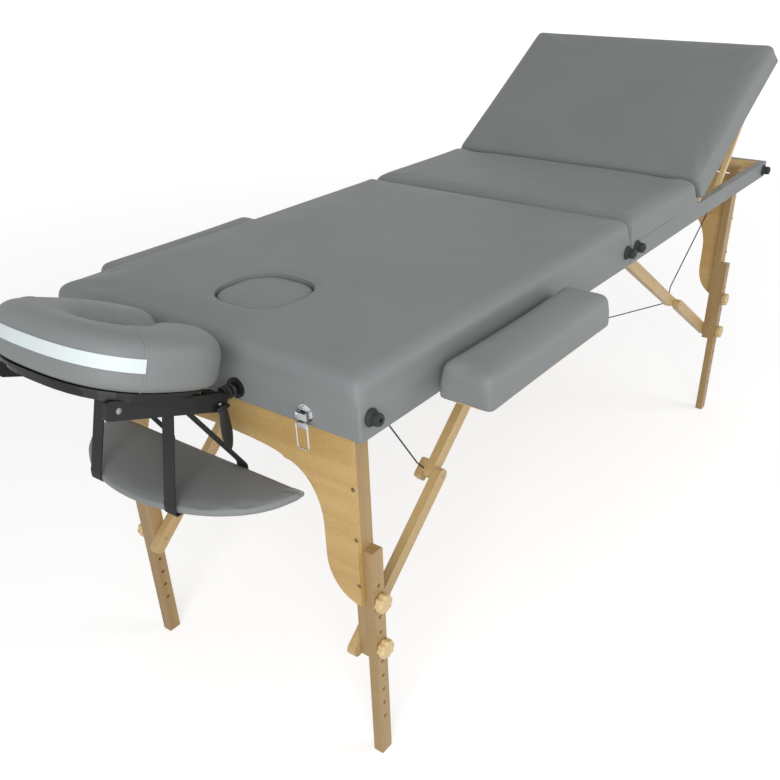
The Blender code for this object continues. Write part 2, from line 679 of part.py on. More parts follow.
def build_backrest(half):
    """Lifting backrest with its board, pad and prop."""
    backrest = Pivot("backrest", (BACKREST_HINGE_X, 0, BACKREST_HINGE_Z), half, -BACKREST_ANGLE)
    board = plate("Z", [rectangle(BACKREST_HINGE_X + BACKREST_EDGE, -FRAME_Y, FRAME_X, FRAME_Y)],
                  DECK_BOTTOM, DECK_TOP)
    ears = []
    x, z = PROP_PIVOT_X, PROP_PIVOT_Z
    ear_out = PROP_IN - CLEARANCE
    for side in (-1, 1):
        ears.append(side_block(x - EAR_LENGTH / 2, x + EAR_LENGTH / 2, ear_out - EAR_THICKNESS, ear_out,
                               z - PROP_RADIUS, DECK_BOTTOM + DECK_THICKNESS / 2, side))
        ears.append(rod((x, side * (ear_out - EAR_THICKNESS / 2), z), (x, side * PROP_OUT, z),
                        PROP_PIN_RADIUS, count=12))
    piece("backrest_board", board, backrest, PLYWOOD, joined=ears)
    pad = pillow((BACKREST_HINGE_X + BACKREST_PAD_GAP, -TABLE_WIDTH / 2, PAD_BOTTOM),
                 (END_X, TABLE_WIDTH / 2, PAD_TOP), PAD_EDGE_RADIUS, PAD_CROWN)
    piece("backrest_pad", pad, backrest, VINYL)
    prop = Pivot("backrest_prop_pivot", (x, 0, z), backrest, -PROP_ANGLE)
    outline = bar((x, z), (x - PROP_LENGTH, z), PROP_RADIUS)
    bore = circle(x, z, PROP_PIN_RADIUS + CLEARANCE)
    right, left = (side_plate([outline, bore], PROP_IN, PROP_OUT, side) for side in (-1, 1))
    strip_x, strip_z = x - PROP_STRIP_REACH, z + PROP_RADIUS - CLEARANCE
    strip = block((strip_x - PROP_STRIP_WIDTH, -PROP_IN - CLEARANCE, strip_z - PROP_STRIP_THICKNESS),
                  (strip_x, PROP_IN + CLEARANCE, strip_z))
    piece("backrest_prop", right, prop, PALE_WOOD, joined=[left, strip])


def panel_outline():
    """Arched panel between a pair of legs, in Y and Z."""
    top = FRAME_HEIGHT + PANEL_RISE
    crown = top - ARCH_BAND
    shoulder = crown - ARCH_BOW
    lobe = top - PANEL_HEIGHT
    lobe_width = LEG_OUT - ARCH_HALF_WIDTH
    half = [(LEG_OUT, top), (LEG_OUT, lobe)]
    half += arc(LEG_OUT, lobe + LOBE_HEIGHT, lobe_width, LOBE_HEIGHT, 270, 180, 8)[1:]
    inner = ARCH_HALF_WIDTH - SHOULDER_WIDTH
    half += arc(inner, shoulder - SHOULDER_HEIGHT, SHOULDER_WIDTH, SHOULDER_HEIGHT, 0, 90, 8)
    half += arc(0, shoulder, inner, ARCH_BOW, 0, 90, 6)[1:]
    return half + [(-y, z) for y, z in reversed(half[:-1])]


def knob_outline(x, z):
    """Lobed outline of a wooden hand knob."""
    points = []
    for i in range(KNOB_LOBES * 4):
        a = 2 * math.pi * i / (KNOB_LOBES * 4)
        radius = KNOB_RADIUS - KNOB_LOBE + KNOB_LOBE * math.cos(KNOB_LOBES * a)
        points.append((x + radius * math.cos(a), z + radius * math.sin(a)))
    return points


def build_legs(end, half):
    """Leg set of one end: panel, legs, extensions, knobs and braces."""
    name = "head" if end < 0 else "foot"
    x = end * LEG_X
    legs = Pivot(name + "_legs", (x, 0, PIVOT_Z), half)
    near, far = LEG_DEPTH / 2 + CLEARANCE, LEG_DEPTH / 2 + CLEARANCE + PANEL_THICKNESS
    x0, x1 = sorted((x + end * near, x + end * far))
    piece(name + "_leg_panel", plate("X", [panel_outline()], x0, x1), legs, PALE_WOOD)
    for side, hand in ((-1, "right"), (1, "left")):
        build_leg(end, side, f"{name}_{hand}", legs)
    offset = HEAD_BRACE_OFFSET if end < 0 else FOOT_BRACE_OFFSET
    upper = Pivot(name + "_upper_arms", (end * offset, 0, PIVOT_Z), half)
    lower = Pivot(name + "_lower_arms", (x, 0, LOWER_BOLT_Z), legs)
    upper_length, lower_length, slope = brace(offset)
    out, down = end * math.cos(slope), -math.sin(slope)
    for side, hand in ((-1, "right"), (1, "left")):
        outline = upper_arm((end * offset, PIVOT_Z), upper_length, slope, end)
        bore = circle(end * offset, PIVOT_Z, PIVOT_RADIUS + CLEARANCE)
        arm = side_plate([outline, bore], UPPER_ARM_IN, UPPER_ARM_OUT, side)
        piece(f"{name}_upper_arm_{hand}", arm, upper, LEG_WOOD)
        outline = bar((x + out * ARM_TAIL, LOWER_BOLT_Z + down * ARM_TAIL),
                      (x - out * lower_length, LOWER_BOLT_Z - down * lower_length), ARM_WIDTH / 2)
        bore = circle(x, LOWER_BOLT_Z, BOLT_RADIUS + CLEARANCE)
        arm = side_plate([outline, bore], LOWER_ARM_IN, LOWER_ARM_OUT, side)
        piece(f"{name}_lower_arm_{hand}", arm, lower, LEG_WOOD)


def upper_arm(start, length, slope, end):
    """Outline of an upper brace arm, cut back under its elbow where the leg panel swings by."""
    half = ARM_WIDTH / 2
    along = Vector((end * math.cos(slope), -math.sin(slope)))
    under = Vector((-end * math.sin(slope), -math.cos(slope)))
    tip = Vector(start) + along * length
    relief = [(-RELIEF_START, half), (-RELIEF_MIDDLE, half - RELIEF_SHOULDER), (0, half - RELIEF_DEPTH)]
    points = [tuple(tip + along * back + under * depth) for back, depth in relief]
    heading = math.degrees(math.atan2(along.y, along.x))
    points += arc(tip.x, tip.y, half, half, heading + end * RELIEF_ANGLE, heading + end * 90, 8)
    return points + arc(*start, half, half, heading + end * 90, heading + end * 270, 8)


def build_leg(end, side, name, legs):
    """One leg with its two bolts, its height extension and its two knobs."""
    x, half = end * LEG_X, LEG_DEPTH / 2
    bottom = LOWER_BOLT_Z - LEG_FOOT_MARGIN
    outline = arc(x, PIVOT_Z, half, half, 0, 180, 8) + [(x - half, bottom), (x + half, bottom)]
    bore = circle(x, PIVOT_Z, PIVOT_RADIUS + CLEARANCE)
    tip = KNOB_OUT - KNOB_THICKNESS / 4
    bolts = [rod((x, side * (LEG_OUT + LEG_IN) / 2, UPPER_BOLT_Z), (x, side * tip, UPPER_BOLT_Z),
                 BOLT_RADIUS, count=12),
             rod((x, side * LOWER_ARM_IN, LOWER_BOLT_Z), (x, side * tip, LOWER_BOLT_Z),
                 BOLT_RADIUS, count=12)]
    piece(name + "_leg", side_plate([outline, bore], LEG_IN, LEG_OUT, side), legs, LEG_WOOD, joined=bolts)
    slide = Pivot(name + "_extension_slide", (x, side * EXTENSION_OUT, EXTENSION_LENGTH), legs)
    holes = [circle(x, EXTENSION_LENGTH - TOP_HOLE_INSET - i * HOLE_PITCH, BOLT_RADIUS + CLEARANCE, 10)
             for i in range(HOLE_COUNT)]
    outline = rectangle(x - half, 0, x + half, EXTENSION_LENGTH, LEG_DEPTH / 8, 2)
    strip = side_plate([outline] + holes, EXTENSION_IN, EXTENSION_OUT, side)
    piece(name + "_extension", strip, slide, LEG_WOOD)
    for level, z in (("upper", UPPER_BOLT_Z), ("lower", LOWER_BOLT_Z)):
        turn = Pivot(f"{name}_{level}_knob_turn", (x, side * KNOB_OUT, z), legs)
        bore = circle(x, z, BOLT_RADIUS + CLEARANCE)
        piece(f"{name}_{level}_knob", side_plate([knob_outline(x, z), bore], KNOB_IN, KNOB_OUT, side),
              turn, PALE_WOOD)


def elbow(end):
    """Place of a brace's elbow, in X and Z."""
    offset = HEAD_BRACE_OFFSET if end < 0 else FOOT_BRACE_OFFSET
    upper_length, _, slope = brace(offset)
    return (end * (offset + upper_length * math.cos(slope)), PIVOT_Z - upper_length * math.sin(slope))


def build_cables(root):
    """Two taut cables from rail to elbow, across the middle, to the opposite elbow and rail."""
    head, foot = elbow(-1), elbow(1)
    beside = UPPER_ARM_IN - CLEARANCE - CABLE_RADIUS
    eye_y, eye_z = RAIL_Y - CABLE_SIDE_INSET, FRAME_HEIGHT - CLEARANCE - CABLE_RADIUS
    for side, hand in ((-1, "right"), (1, "left")):
        head_eye = Vector((-END_X + HEAD_EYE_INSET, side * eye_y, eye_z))
        head_bend = Vector((head[0], side * beside, head[1]))
        foot_eye = Vector((END_X - FOOT_EYE_INSET, -side * eye_y, eye_z))
        foot_bend = Vector((foot[0], -side * beside, foot[1]))
        middle = Vector((0, 0, CABLE_CROSSING + side * CABLE_SPACING / 2))
        path = [head_eye, beside_arm(head_bend, head_eye), head_bend, middle,
                foot_bend, beside_arm(foot_bend, foot_eye), foot_eye]
        piece(f"cable_head_{hand}", wire(path, CABLE_RADIUS), root, BLACK_STEEL)


def beside_arm(bend, eye):
    """Point on the way from an elbow to an eye where the cable is past the arms."""
    way = Vector((eye.x - bend.x, 0, eye.z - bend.z)).normalized()
    return bend + way * CABLE_GUARD


def build_headrest(root):
    """Face cradle on its rods, with cushion, cam lever and hanging arm shelf."""
    headrest = Pivot("headrest", (CRADLE_X, 0, CRADLE_Z), root)
    x, z, half = CRADLE_X, CRADLE_Z, HUB_LENGTH / 2
    axle_end = CRADLE_ARM_OUT + AXLE_OVERHANG
    joined = []
    for y in rod_stations():
        joined.append(rod((x, y, z), (-FRAME_X + ROD_INSERTION, y, z), ROD_RADIUS))
        joined.append(rod((x, y - half, z), (x, y + half, z), HUB_RADIUS))
    axle = rod((x, -axle_end, z), (x, axle_end, z), AXLE_RADIUS)
    piece("cradle_rods", axle, headrest, BLACK_STEEL, joined)
    y, z = -CRADLE_ARM_OUT - LEVER_GAP - LEVER_RADIUS, CRADLE_Z - LEVER_DROP
    lever = Pivot("cam_lever_pivot", (x, y, z), headrest)
    outline = bar((y, z), (y, z - LEVER_LENGTH), LEVER_RADIUS)
    handle = plate("X", [outline], x - LEVER_WIDTH / 2, x + LEVER_WIDTH / 2)
    piece("cam_lever", handle, lever, BLACK_PLASTIC)
    cradle = Pivot("cradle", (CRADLE_X, 0, CRADLE_Z), headrest, CRADLE_TILT)
    build_cradle(cradle)
    build_shelf(cradle)


def build_cradle(cradle):
    """Tilting frame with its arms and platform, the cushion's board and the cushion."""
    arm = rectangle(CRADLE_X - CRADLE_ARM_LENGTH, CRADLE_Z - CRADLE_ARM_DROP,
                    CRADLE_X + CRADLE_ARM_HEEL, CRADLE_Z + CRADLE_ARM_RISE, CRADLE_ARM_DROP / 2)
    bore = circle(CRADLE_X, CRADLE_Z, AXLE_RADIUS + CLEARANCE, 16)
    arms = [side_plate([arm, bore], CRADLE_ARM_IN, CRADLE_ARM_OUT, side) for side in (-1, 1)]
    bar_end = CRADLE_ARM_IN + CRADLE_ARM_THICKNESS / 2
    arms.append(rod((SHELF_BAR_X, -bar_end, SHELF_BAR_Z), (SHELF_BAR_X, bar_end, SHELF_BAR_Z),
                    SHELF_BAR_RADIUS))
    hole = oval(CUSHION_X, 0, FACE_HOLE_LENGTH / 2, FACE_HOLE_WIDTH / 2, FACE_HOLE_PLAN)
    platform = plate("Z", [cushion_plan(PLATFORM_SHRINK), hole],
                     PLATFORM_TOP - PLATFORM_THICKNESS - CRADLE_ARM_DROP / 4, PLATFORM_TOP)
    piece("cradle_frame", platform, cradle, BLACK_PLASTIC, joined=arms)
    low = PLATFORM_TOP + CLEARANCE
    high = low + CUSHION_BOARD_THICKNESS
    board = plate("Z", [cushion_plan(BOARD_SHRINK), hole], low, high)
    piece("cushion_board", board, cradle, PLYWOOD)
    low = high + CLEARANCE
    high = low + CUSHION_THICKNESS
    half_x, half_y = CUSHION_LENGTH / 2, CUSHION_WIDTH / 2
    cushion = pillow((CUSHION_X - half_x, -half_y, low), (CUSHION_X + half_x, half_y, high),
                     CUSHION_EDGE_RADIUS, CUSHION_CROWN, CUSHION_PLAN)
    under, over = low - CUT_OVERRUN, high + CUSHION_CROWN + CUT_OVERRUN
    slot = block((CUSHION_X, -FACE_SLOT_WIDTH / 2, under),
                 (CUSHION_X + half_x + CUT_OVERRUN, FACE_SLOT_WIDTH / 2, over))
    piece("face_cushion", cushion, cradle, VINYL, cut=[plate("Z", [hole], under, over), slot])


def cushion_plan(inset):
    """Outline of the cushion's plan, moved in by an amount."""
    return oval(CUSHION_X, 0, CUSHION_LENGTH / 2 - inset, CUSHION_WIDTH / 2 - inset, CUSHION_PLAN)


def build_shelf(cradle):
    """Half-moon arm shelf that hangs level from the cradle's cross bar on two strap loops."""
    shelf = Pivot("arm_shelf_pivot", (SHELF_BAR_X, 0, SHELF_BAR_Z), cradle, -CRADLE_TILT)
    back, front = SHELF_BAR_X + SHELF_BACK, SHELF_BAR_X - SHELF_FRONT
    half = arc(back, 0, back - front, SHELF_HALF_WIDTH, 90, 270, 24)
    board = plate("Z", [half], SHELF_TOP - SHELF_THICKNESS, SHELF_TOP)
    loops, bores = [], []
    ring = SHELF_BAR_RADIUS + CLEARANCE + STRAP_THICKNESS
    low = SHELF_TOP - SHELF_THICKNESS / 2
    for side in (-1, 1):
        y0, y1 = STRAP_SPACING / 2 - STRAP_WIDTH / 2, STRAP_SPACING / 2 + STRAP_WIDTH / 2
        loops.append(side_plate([circle(SHELF_BAR_X, SHELF_BAR_Z, ring, 16)], y0, y1, side))
        for foot in (back - STRAP_INSET, front + 4 * STRAP_INSET):
            head = SHELF_BAR_X + math.copysign(SHELF_BAR_RADIUS, foot - SHELF_BAR_X)
            loops.append(side_plate([bar((head, SHELF_BAR_Z - SHELF_BAR_RADIUS), (foot, low),
                                         STRAP_THICKNESS / 2, 4)], y0, y1, side))
        bore = circle(SHELF_BAR_X, SHELF_BAR_Z, SHELF_BAR_RADIUS + CLEARANCE, 16)
        bores.append(side_plate([bore], y0 - CUT_OVERRUN, y1 + CUT_OVERRUN, side))
    piece("arm_shelf", board, shelf, VINYL, joined=loops, cut=bores)


def build_plug(root):
    """Padded plug of the breathing hole."""
    carrier = Pivot("breathing_plug_lift", (PLUG_X, 0, PAD_BOTTOM), root)
    solid = pillow((PLUG_X - PLUG_LENGTH / 2, -PLUG_WIDTH / 2, PAD_BOTTOM),
                   (PLUG_X + PLUG_LENGTH / 2, PLUG_WIDTH / 2, PAD_TOP),
                   PAD_CROWN * 2, PAD_CROWN, PLUG_PLAN)
    piece("breathing_plug", solid, carrier, VINYL)


def build_armrests(root):
    """Two armrests that plug into the side rails on pegs."""
    x0, x1 = -ARMREST_START - ARMREST_LENGTH, -ARMREST_START
    near = TABLE_WIDTH / 2 + ARMREST_GAP
    far = near + ARMREST_WIDTH
    low = FRAME_HEIGHT + ARMREST_RISE
    high = low + ARMREST_BOARD_THICKNESS
    for side, hand in ((-1, "right"), (1, "left")):
        carrier = Pivot(f"armrest_{hand}_slide", ((x0 + x1) / 2, side * near, low), root)
        y0, y1 = sorted((side * (near + ARMREST_BOARD_MARGIN), side * (far - ARMREST_BOARD_MARGIN)))
        board = plate("Z", [rectangle(x0 + ARMREST_BOARD_MARGIN, y0, x1 - ARMREST_BOARD_MARGIN, y1,
                                      ARMREST_EDGE_RADIUS)], low, high)
        pegs = [rod((x, side * (near + ARMREST_WIDTH / 3), peg_height()),
                    (x, side * (RAIL_Y + RAIL_THICKNESS / 8), peg_height()), PEG_RADIUS, count=12)
                for x in peg_stations()]
        piece(f"armrest_board_{hand}", board, carrier, PALE_WOOD, joined=pegs)
        y0, y1 = sorted((side * near, side * far))
        pad = pillow((x0, y0, high + CLEARANCE), (x1, y1, high + CLEARANCE + ARMREST_PAD_THICKNESS),
                     ARMREST_EDGE_RADIUS, PAD_CROWN / 2)
        piece(f"armrest_pad_{hand}", pad, carrier, VINYL)


def build_latch(root):
    """Draw latch on the head rail: plate with ears, lever and wire bail."""
    y, z = -LATCH_Y, FRAME_HEIGHT + LATCH_RISE
    face = -FRAME_X - CLEARANCE
    front = face - LATCH_PLATE_THICKNESS
    disc = rod((face, y, z), (front, y, z), LATCH_PLATE_RADIUS, count=24)
    ears = []
    half = LEVER_PLATE_WIDTH / 2 + CLEARANCE
    for side in (-1, 1):
        y0, y1 = sorted((y + side * half, y + side * (half + LATCH_EAR_THICKNESS)))
        ears.append(block((front - LATCH_EAR_REACH, y0, z - LATCH_EAR_HEIGHT / 2),
                          (face - LATCH_PLATE_THICKNESS / 2, y1, z + LATCH_EAR_HEIGHT / 2)))
    piece("latch_plate", disc, root, CHROME, joined=ears)
    axis_x = front - LATCH_EAR_REACH + LEVER_PLATE_THICKNESS
    lever = Pivot("latch_lever_pivot", (axis_x, y, z), root)
    thin, wide = LEVER_PLATE_THICKNESS / 2, LEVER_PLATE_WIDTH / 2
    outline = bar((axis_x, z), (axis_x, z - LEVER_PLATE_HEIGHT), thin, 4)
    piece("latch_lever", side_plate([outline], LATCH_Y - wide, LATCH_Y + wide, -1), lever, CHROME)
    wire_x = axis_x - thin - CLEARANCE - BAIL_WIRE_RADIUS
    top = z - LEVER_PLATE_HEIGHT / 2
    bail = Pivot("latch_bail_pivot", (wire_x, y, top), lever)
    loop = rectangle(y - BAIL_WIDTH / 2, top - BAIL_DROP, y + BAIL_WIDTH / 2, top, BAIL_WIDTH / 4)
    piece("latch_bail", wire([(wire_x, v, w) for v, w in loop], BAIL_WIRE_RADIUS, True), bail, CHROME)


def centre(root):
    """Move the table so that the origin is under the middle of its bounding box."""
    graph = bpy.context.evaluated_depsgraph_get()
    stations = []
    for obj in PIECES.objects:
        if obj.type == "MESH":
            ready = obj.evaluated_get(graph)
            stations += [(ready.matrix_world @ vert.co).x for vert in ready.data.vertices]
    root.empty.location.x = -(min(stations) + max(stations)) / 2


ROOT = Pivot("table_origin", (0, 0, 0))
FOOT_HALF = Pivot("table_fold", (0, 0, HINGE_Z), ROOT)
build_head_half(ROOT)
build_foot_half(FOOT_HALF)
build_backrest(FOOT_HALF)
build_legs(-1, ROOT)
build_legs(1, FOOT_HALF)
build_cables(ROOT)
build_headrest(ROOT)
build_plug(ROOT)
build_armrests(ROOT)
build_latch(ROOT)
bpy.context.view_layer.update()
centre(ROOT)
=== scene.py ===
"""Visual pieces and finishes of a three-section folding massage table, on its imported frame.

Metres, Z up. The head end is at -X, the foot end at +X and the table's right side at -Y. Stations
along X are given from the fold line, and every shape is moved to the frame's own X as its mesh is made.
"""

import logging
import math
from collections.abc import Sequence
from dataclasses import dataclass
from enum import Enum

import bpy
import numpy as np
from mathutils import Matrix, Vector


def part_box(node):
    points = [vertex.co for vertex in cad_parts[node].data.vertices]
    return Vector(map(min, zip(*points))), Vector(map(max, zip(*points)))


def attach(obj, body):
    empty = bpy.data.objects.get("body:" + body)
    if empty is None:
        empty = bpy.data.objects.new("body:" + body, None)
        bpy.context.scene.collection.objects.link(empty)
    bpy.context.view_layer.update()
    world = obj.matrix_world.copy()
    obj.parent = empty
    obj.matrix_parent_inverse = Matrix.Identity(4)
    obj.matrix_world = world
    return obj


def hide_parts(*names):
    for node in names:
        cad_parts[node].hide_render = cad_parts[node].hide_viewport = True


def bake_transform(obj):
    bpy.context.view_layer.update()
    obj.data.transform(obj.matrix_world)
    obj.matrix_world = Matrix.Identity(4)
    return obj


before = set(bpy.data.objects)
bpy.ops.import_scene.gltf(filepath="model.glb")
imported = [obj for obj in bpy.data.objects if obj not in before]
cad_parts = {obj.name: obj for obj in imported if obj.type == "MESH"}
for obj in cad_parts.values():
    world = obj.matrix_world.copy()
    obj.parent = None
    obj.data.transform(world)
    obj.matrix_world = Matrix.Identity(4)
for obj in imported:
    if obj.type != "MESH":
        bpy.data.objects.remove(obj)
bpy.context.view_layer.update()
FOLD = sum(corner.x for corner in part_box("centre_hinge_pin")) / 2
LOG = logging.getLogger("massage_table")

Array = np.ndarray
Point = tuple[float, float, float]
Pair = tuple[float, float]
Row = tuple[float, float, float]
Colour = tuple[int, int, int]
Socket = bpy.types.NodeSocket
Node = bpy.types.Node
Tree = bpy.types.NodeTree
Material = bpy.types.Material
Piece = bpy.types.Object

SIDES = (-1, 1)
HANDS = ("right", "left")
ENDS = ("head", "foot")
HEAD_SLOPE, FOOT_SLOPE = 40.831, 31.854
TINY = 1e-12


class Slot(Enum):
    """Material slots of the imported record."""

    VINYL = "vinyl"
    PALE_WOOD = "pale_wood"
    LEG_WOOD = "leg_wood"
    KNOB_WOOD = "knob_wood"
    PLYWOOD = "plywood"
    BLACK_PLASTIC = "black_plastic"
    RUBBER = "rubber"
    BLACK_STEEL = "black_steel"
    STEEL = "steel"
    CHROME = "chrome"


class Grain(Enum):
    """Direction of the wood's grain, as an axis and the angle that turns it onto X."""

    LENGTHWISE = ((0.0, 1.0, 0.0), 0.0)
    CROSSWISE = ((0.0, 0.0, 1.0), -90.0)
    UPRIGHT = ((0.0, 1.0, 0.0), 90.0)
    HEAD_BRACE = ((0.0, 1.0, 0.0), HEAD_SLOPE)
    FOOT_BRACE = ((0.0, 1.0, 0.0), -FOOT_SLOPE)
    PROP = ((0.0, 1.0, 0.0), 51.5)


class Plan(Enum):
    """Outline of a padded form seen from above."""

    RECTANGLE = "rectangle"
    OVAL = "oval"
    HALF_MOON = "half moon"


def linear(red: float, green: float, blue: float) -> tuple[float, float, float, float]:
    """Scene colour of a colour written as 0 to 255.

    Args:
        red: Red of the written colour.
        green: Green of the written colour.
        blue: Blue of the written colour.

    Returns:
        The linear colour with full alpha.
    """
    share = np.array((red, green, blue)) / 255
    value = np.where(share <= 0.04045, share / 12.92, ((share + 0.055) / 1.055) ** 2.4)
    return (*value.tolist(), 1.0)


def shaded(colour: Colour, share: float, lift: float = 0.0) -> tuple[float, float, float, float]:
    """Scene colour of a written colour times a share, plus a lift.

    Args:
        colour: Written colour, 0 to 255.
        share: Factor on each of its values.
        lift: Amount added to each.

    Returns:
        The linear colour with full alpha.
    """
    return linear(*(int(value * share + lift) for value in colour))


class Wiring:
    """A node tree with short calls to add, set and join its nodes."""

    def __init__(self, tree: Tree) -> None:
        """Keep the tree that is wired."""
        self.tree = tree

    def add(self, kind: str, settings: dict | None = None, **inputs: object) -> Node:
        """Add a node, set its options and fill its input sockets.

        Args:
            kind: Node type.
            settings: Options of the node by attribute name.
            **inputs: Input sockets by name, with _ for a space, as a value or a socket to link.

        Returns:
            The new node.
        """
        node = self.tree.nodes.new(kind)
        for name, value in (settings or {}).items():
            setattr(node, name, value)
        self.feed(node, **inputs)
        return node

    def feed(self, node: Node, **inputs: object) -> None:
        """Fill a node's input sockets by name, with _ for a space."""
        for name, value in inputs.items():
            self.fill(node.inputs[name.replace("_", " ")], value)

    def fill(self, socket: Socket, value: object) -> None:
        """Link a socket to another one, or set its value.

        Args:
            socket: Input socket.
            value: Socket to link, or the value.
        """
        if isinstance(value, Socket):
            self.tree.links.new(value, socket)
        else:
            socket.default_value = value

    def span(self, value: Socket, low: float, high: float, start: float = 0.0, end: float = 1.0) -> Socket:
        """Map a value from start and end to low and high.

        Args:
            value: Value that is mapped.
            low: Result at start.
            high: Result at end.
            start: Lowest value.
            end: Highest value.

        Returns:
            The mapped value.
        """
        node = self.add("ShaderNodeMapRange", None, Value=value, From_Min=start, From_Max=end,
                        To_Min=low, To_Max=high)
        return node.outputs["Result"]

    def noise(self, vector: Socket, scale: float, detail: float, window: Pair, warp: float = 0.0) -> Socket:
        """Noise whose values within a window are stretched to 0 to 1.

        Args:
            vector: Coordinates.
            scale: Cells per metre.
            detail: Octaves.
            window: Values that become 0 and 1.
            warp: Distortion.

        Returns:
            The stretched noise.
        """
        node = self.add("ShaderNodeTexNoise", None, Vector=vector, Scale=scale, Detail=detail,
                        Distortion=warp)
        return self.span(node.outputs[0], 0.0, 1.0, *window)

    def combine(self, operation: str, first: Socket, second: Socket) -> Socket:
        """Join two values by an operation.

        Args:
            operation: Name of the operation.
            first: First value.
            second: Second value.

        Returns:
            The result.
        """
        node = self.add("ShaderNodeMath", {"operation": operation})
        for socket, value in zip(node.inputs, (first, second)):
            self.fill(socket, value)
        return node.outputs[0]

    def mix(self, factor: Socket, first: object, second: object) -> Socket:
        """Blend two colours by a mask that varies over the surface.

        Args:
            factor: Mask, 0 for the first colour and 1 for the second.
            first: First colour.
            second: Second colour.

        Returns:
            The blended colour.
        """
        node = self.add("ShaderNodeMix", {"data_type": "RGBA"})
        for number, value in ((0, factor), (6, first), (7, second)):
            self.fill(node.inputs[number], value)
        return node.outputs[2]

    def group(self, tree: Tree, vector: Socket) -> Node:
        """Place a shared group and feed its coordinates."""
        return self.add("ShaderNodeGroup", {"node_tree": tree}, Vector=vector)


class SurfaceEffects:
    """Node groups shared by the finishes, each built once."""

    def __init__(self) -> None:
        """Build every shared group."""
        self.pebble = self.build_pebble()
        self.figure = self.build_figure()
        self.handling = self.build_handling()
        self.weave = self.build_weave()

    @staticmethod
    def start(name: str) -> tuple[Wiring, Socket]:
        """Open a group: its wiring, and the socket of its vector input.

        Args:
            name: Group name.

        Returns:
            The wiring and the vector's socket inside the group.
        """
        wiring = Wiring(bpy.data.node_groups.new(name, "ShaderNodeTree"))
        wiring.tree.interface.new_socket("Vector", in_out="INPUT", socket_type="NodeSocketVector")
        return wiring, wiring.add("NodeGroupInput").outputs["Vector"]

    @staticmethod
    def close(wiring: Wiring, **outputs: Socket) -> Tree:
        """Give a group its float outputs by name.

        Args:
            wiring: Wiring of the group.
            **outputs: Values by output name.

        Returns:
            The finished group.
        """
        for name in outputs:
            wiring.tree.interface.new_socket(name, in_out="OUTPUT", socket_type="NodeSocketFloat")
        wiring.add("NodeGroupOutput", None, **outputs)
        return wiring.tree

    def build_pebble(self) -> Tree:
        """Embossed vinyl: rounded cells of about a millimetre, fine creases and a slow mottle.

        Returns:
            The finished group.
        """
        wiring, vector = self.start("vinyl_pebble")
        pebbles = wiring.add("ShaderNodeTexVoronoi", {"feature": "SMOOTH_F1"}, Vector=vector, Scale=760.0)
        creases = wiring.add("ShaderNodeTexNoise", None, Vector=vector, Scale=420.0, Detail=3.0)
        height = wiring.combine("SUBTRACT", creases.outputs[0], pebbles.outputs["Distance"])
        return self.close(wiring, Height=height, Mottle=wiring.noise(vector, 5.0, 4.0, (0.3, 0.7)))

    def build_figure(self) -> Tree:
        """Beech figure: broad streaks along X and short darker flecks.

        Returns:
            The finished group.
        """
        wiring, vector = self.start("beech_figure")
        broad = wiring.add("ShaderNodeMapping", None, Vector=vector, Scale=(1.4, 34.0, 34.0)).outputs[0]
        short = wiring.add("ShaderNodeMapping", None, Vector=vector, Scale=(95.0, 700.0, 700.0)).outputs[0]
        return self.close(wiring, Tone=wiring.noise(broad, 1.0, 5.0, (0.32, 0.68), 0.35),
                          Fleck=wiring.noise(short, 1.0, 2.0, (0.56, 0.74)))

    def build_handling(self) -> Tree:
        """Slow smudges and fine dust left by use.

        Returns:
            The finished group.
        """
        wiring, vector = self.start("handling_marks")
        return self.close(wiring, Smudge=wiring.noise(vector, 13.0, 5.0, (0.3, 0.72)),
                          Dust=wiring.noise(vector, 850.0, 2.0, (0.3, 0.7)))

    def build_weave(self) -> Tree:
        """Woven tape on its own metric map: ribs across it and threads along it.

        Returns:
            The finished group.
        """
        wiring, vector = self.start("tape_weave")
        ribs, threads = (wiring.add("ShaderNodeTexWave", {"bands_direction": way}, Vector=vector, Scale=scale)
                         for way, scale in (("X", 190.0), ("Y", 240.0)))
        height = wiring.combine("MULTIPLY", ribs.outputs[1], threads.outputs[1])
        return self.close(wiring, Height=height, Thread=threads.outputs[1])


EFFECTS = SurfaceEffects()


class Coat(Wiring):
    """Wiring of a new material, with its Principled shader and the object's own coordinates."""

    def __init__(self, name: str) -> None:
        """Start the material.

        Args:
            name: Material name.
        """
        self.material = bpy.data.materials.new(name)
        self.material.use_nodes = True
        super().__init__(self.material.node_tree)
        self.tree.nodes.clear()
        self.shader = self.add("ShaderNodeBsdfPrincipled")
        self.add("ShaderNodeOutputMaterial", None, Surface=self.shader.outputs[0])
        self.place = self.add("ShaderNodeTexCoord").outputs["Object"]

    def marks(self) -> Node:
        """The smudges and dust of handling on this surface."""
        return self.group(EFFECTS.handling, self.place)

    def finished(self, colour: Socket, marks: Node, rough: Pair, relief: Socket, strength: float,
                 depth: float = 0.0004, sunk: bool = False) -> Material:
        """Feed the shader its colour, its smudged roughness and its bump.

        Args:
            colour: Base colour.
            marks: Marks of handling.
            rough: Roughness of a clean and of a smudged place.
            relief: Height that the bump follows.
            strength: Strength of the bump.
            depth: Distance that a height of one stands for.
            sunk: Whether the relief goes inwards.

        Returns:
            The finished material.
        """
        bump = self.add("ShaderNodeBump", {"invert": sunk}, Strength=strength, Distance=depth, Height=relief)
        self.feed(self.shader, Base_Color=colour, Roughness=self.span(marks.outputs["Smudge"], *rough),
                  Normal=bump.outputs[0])
        return self.material


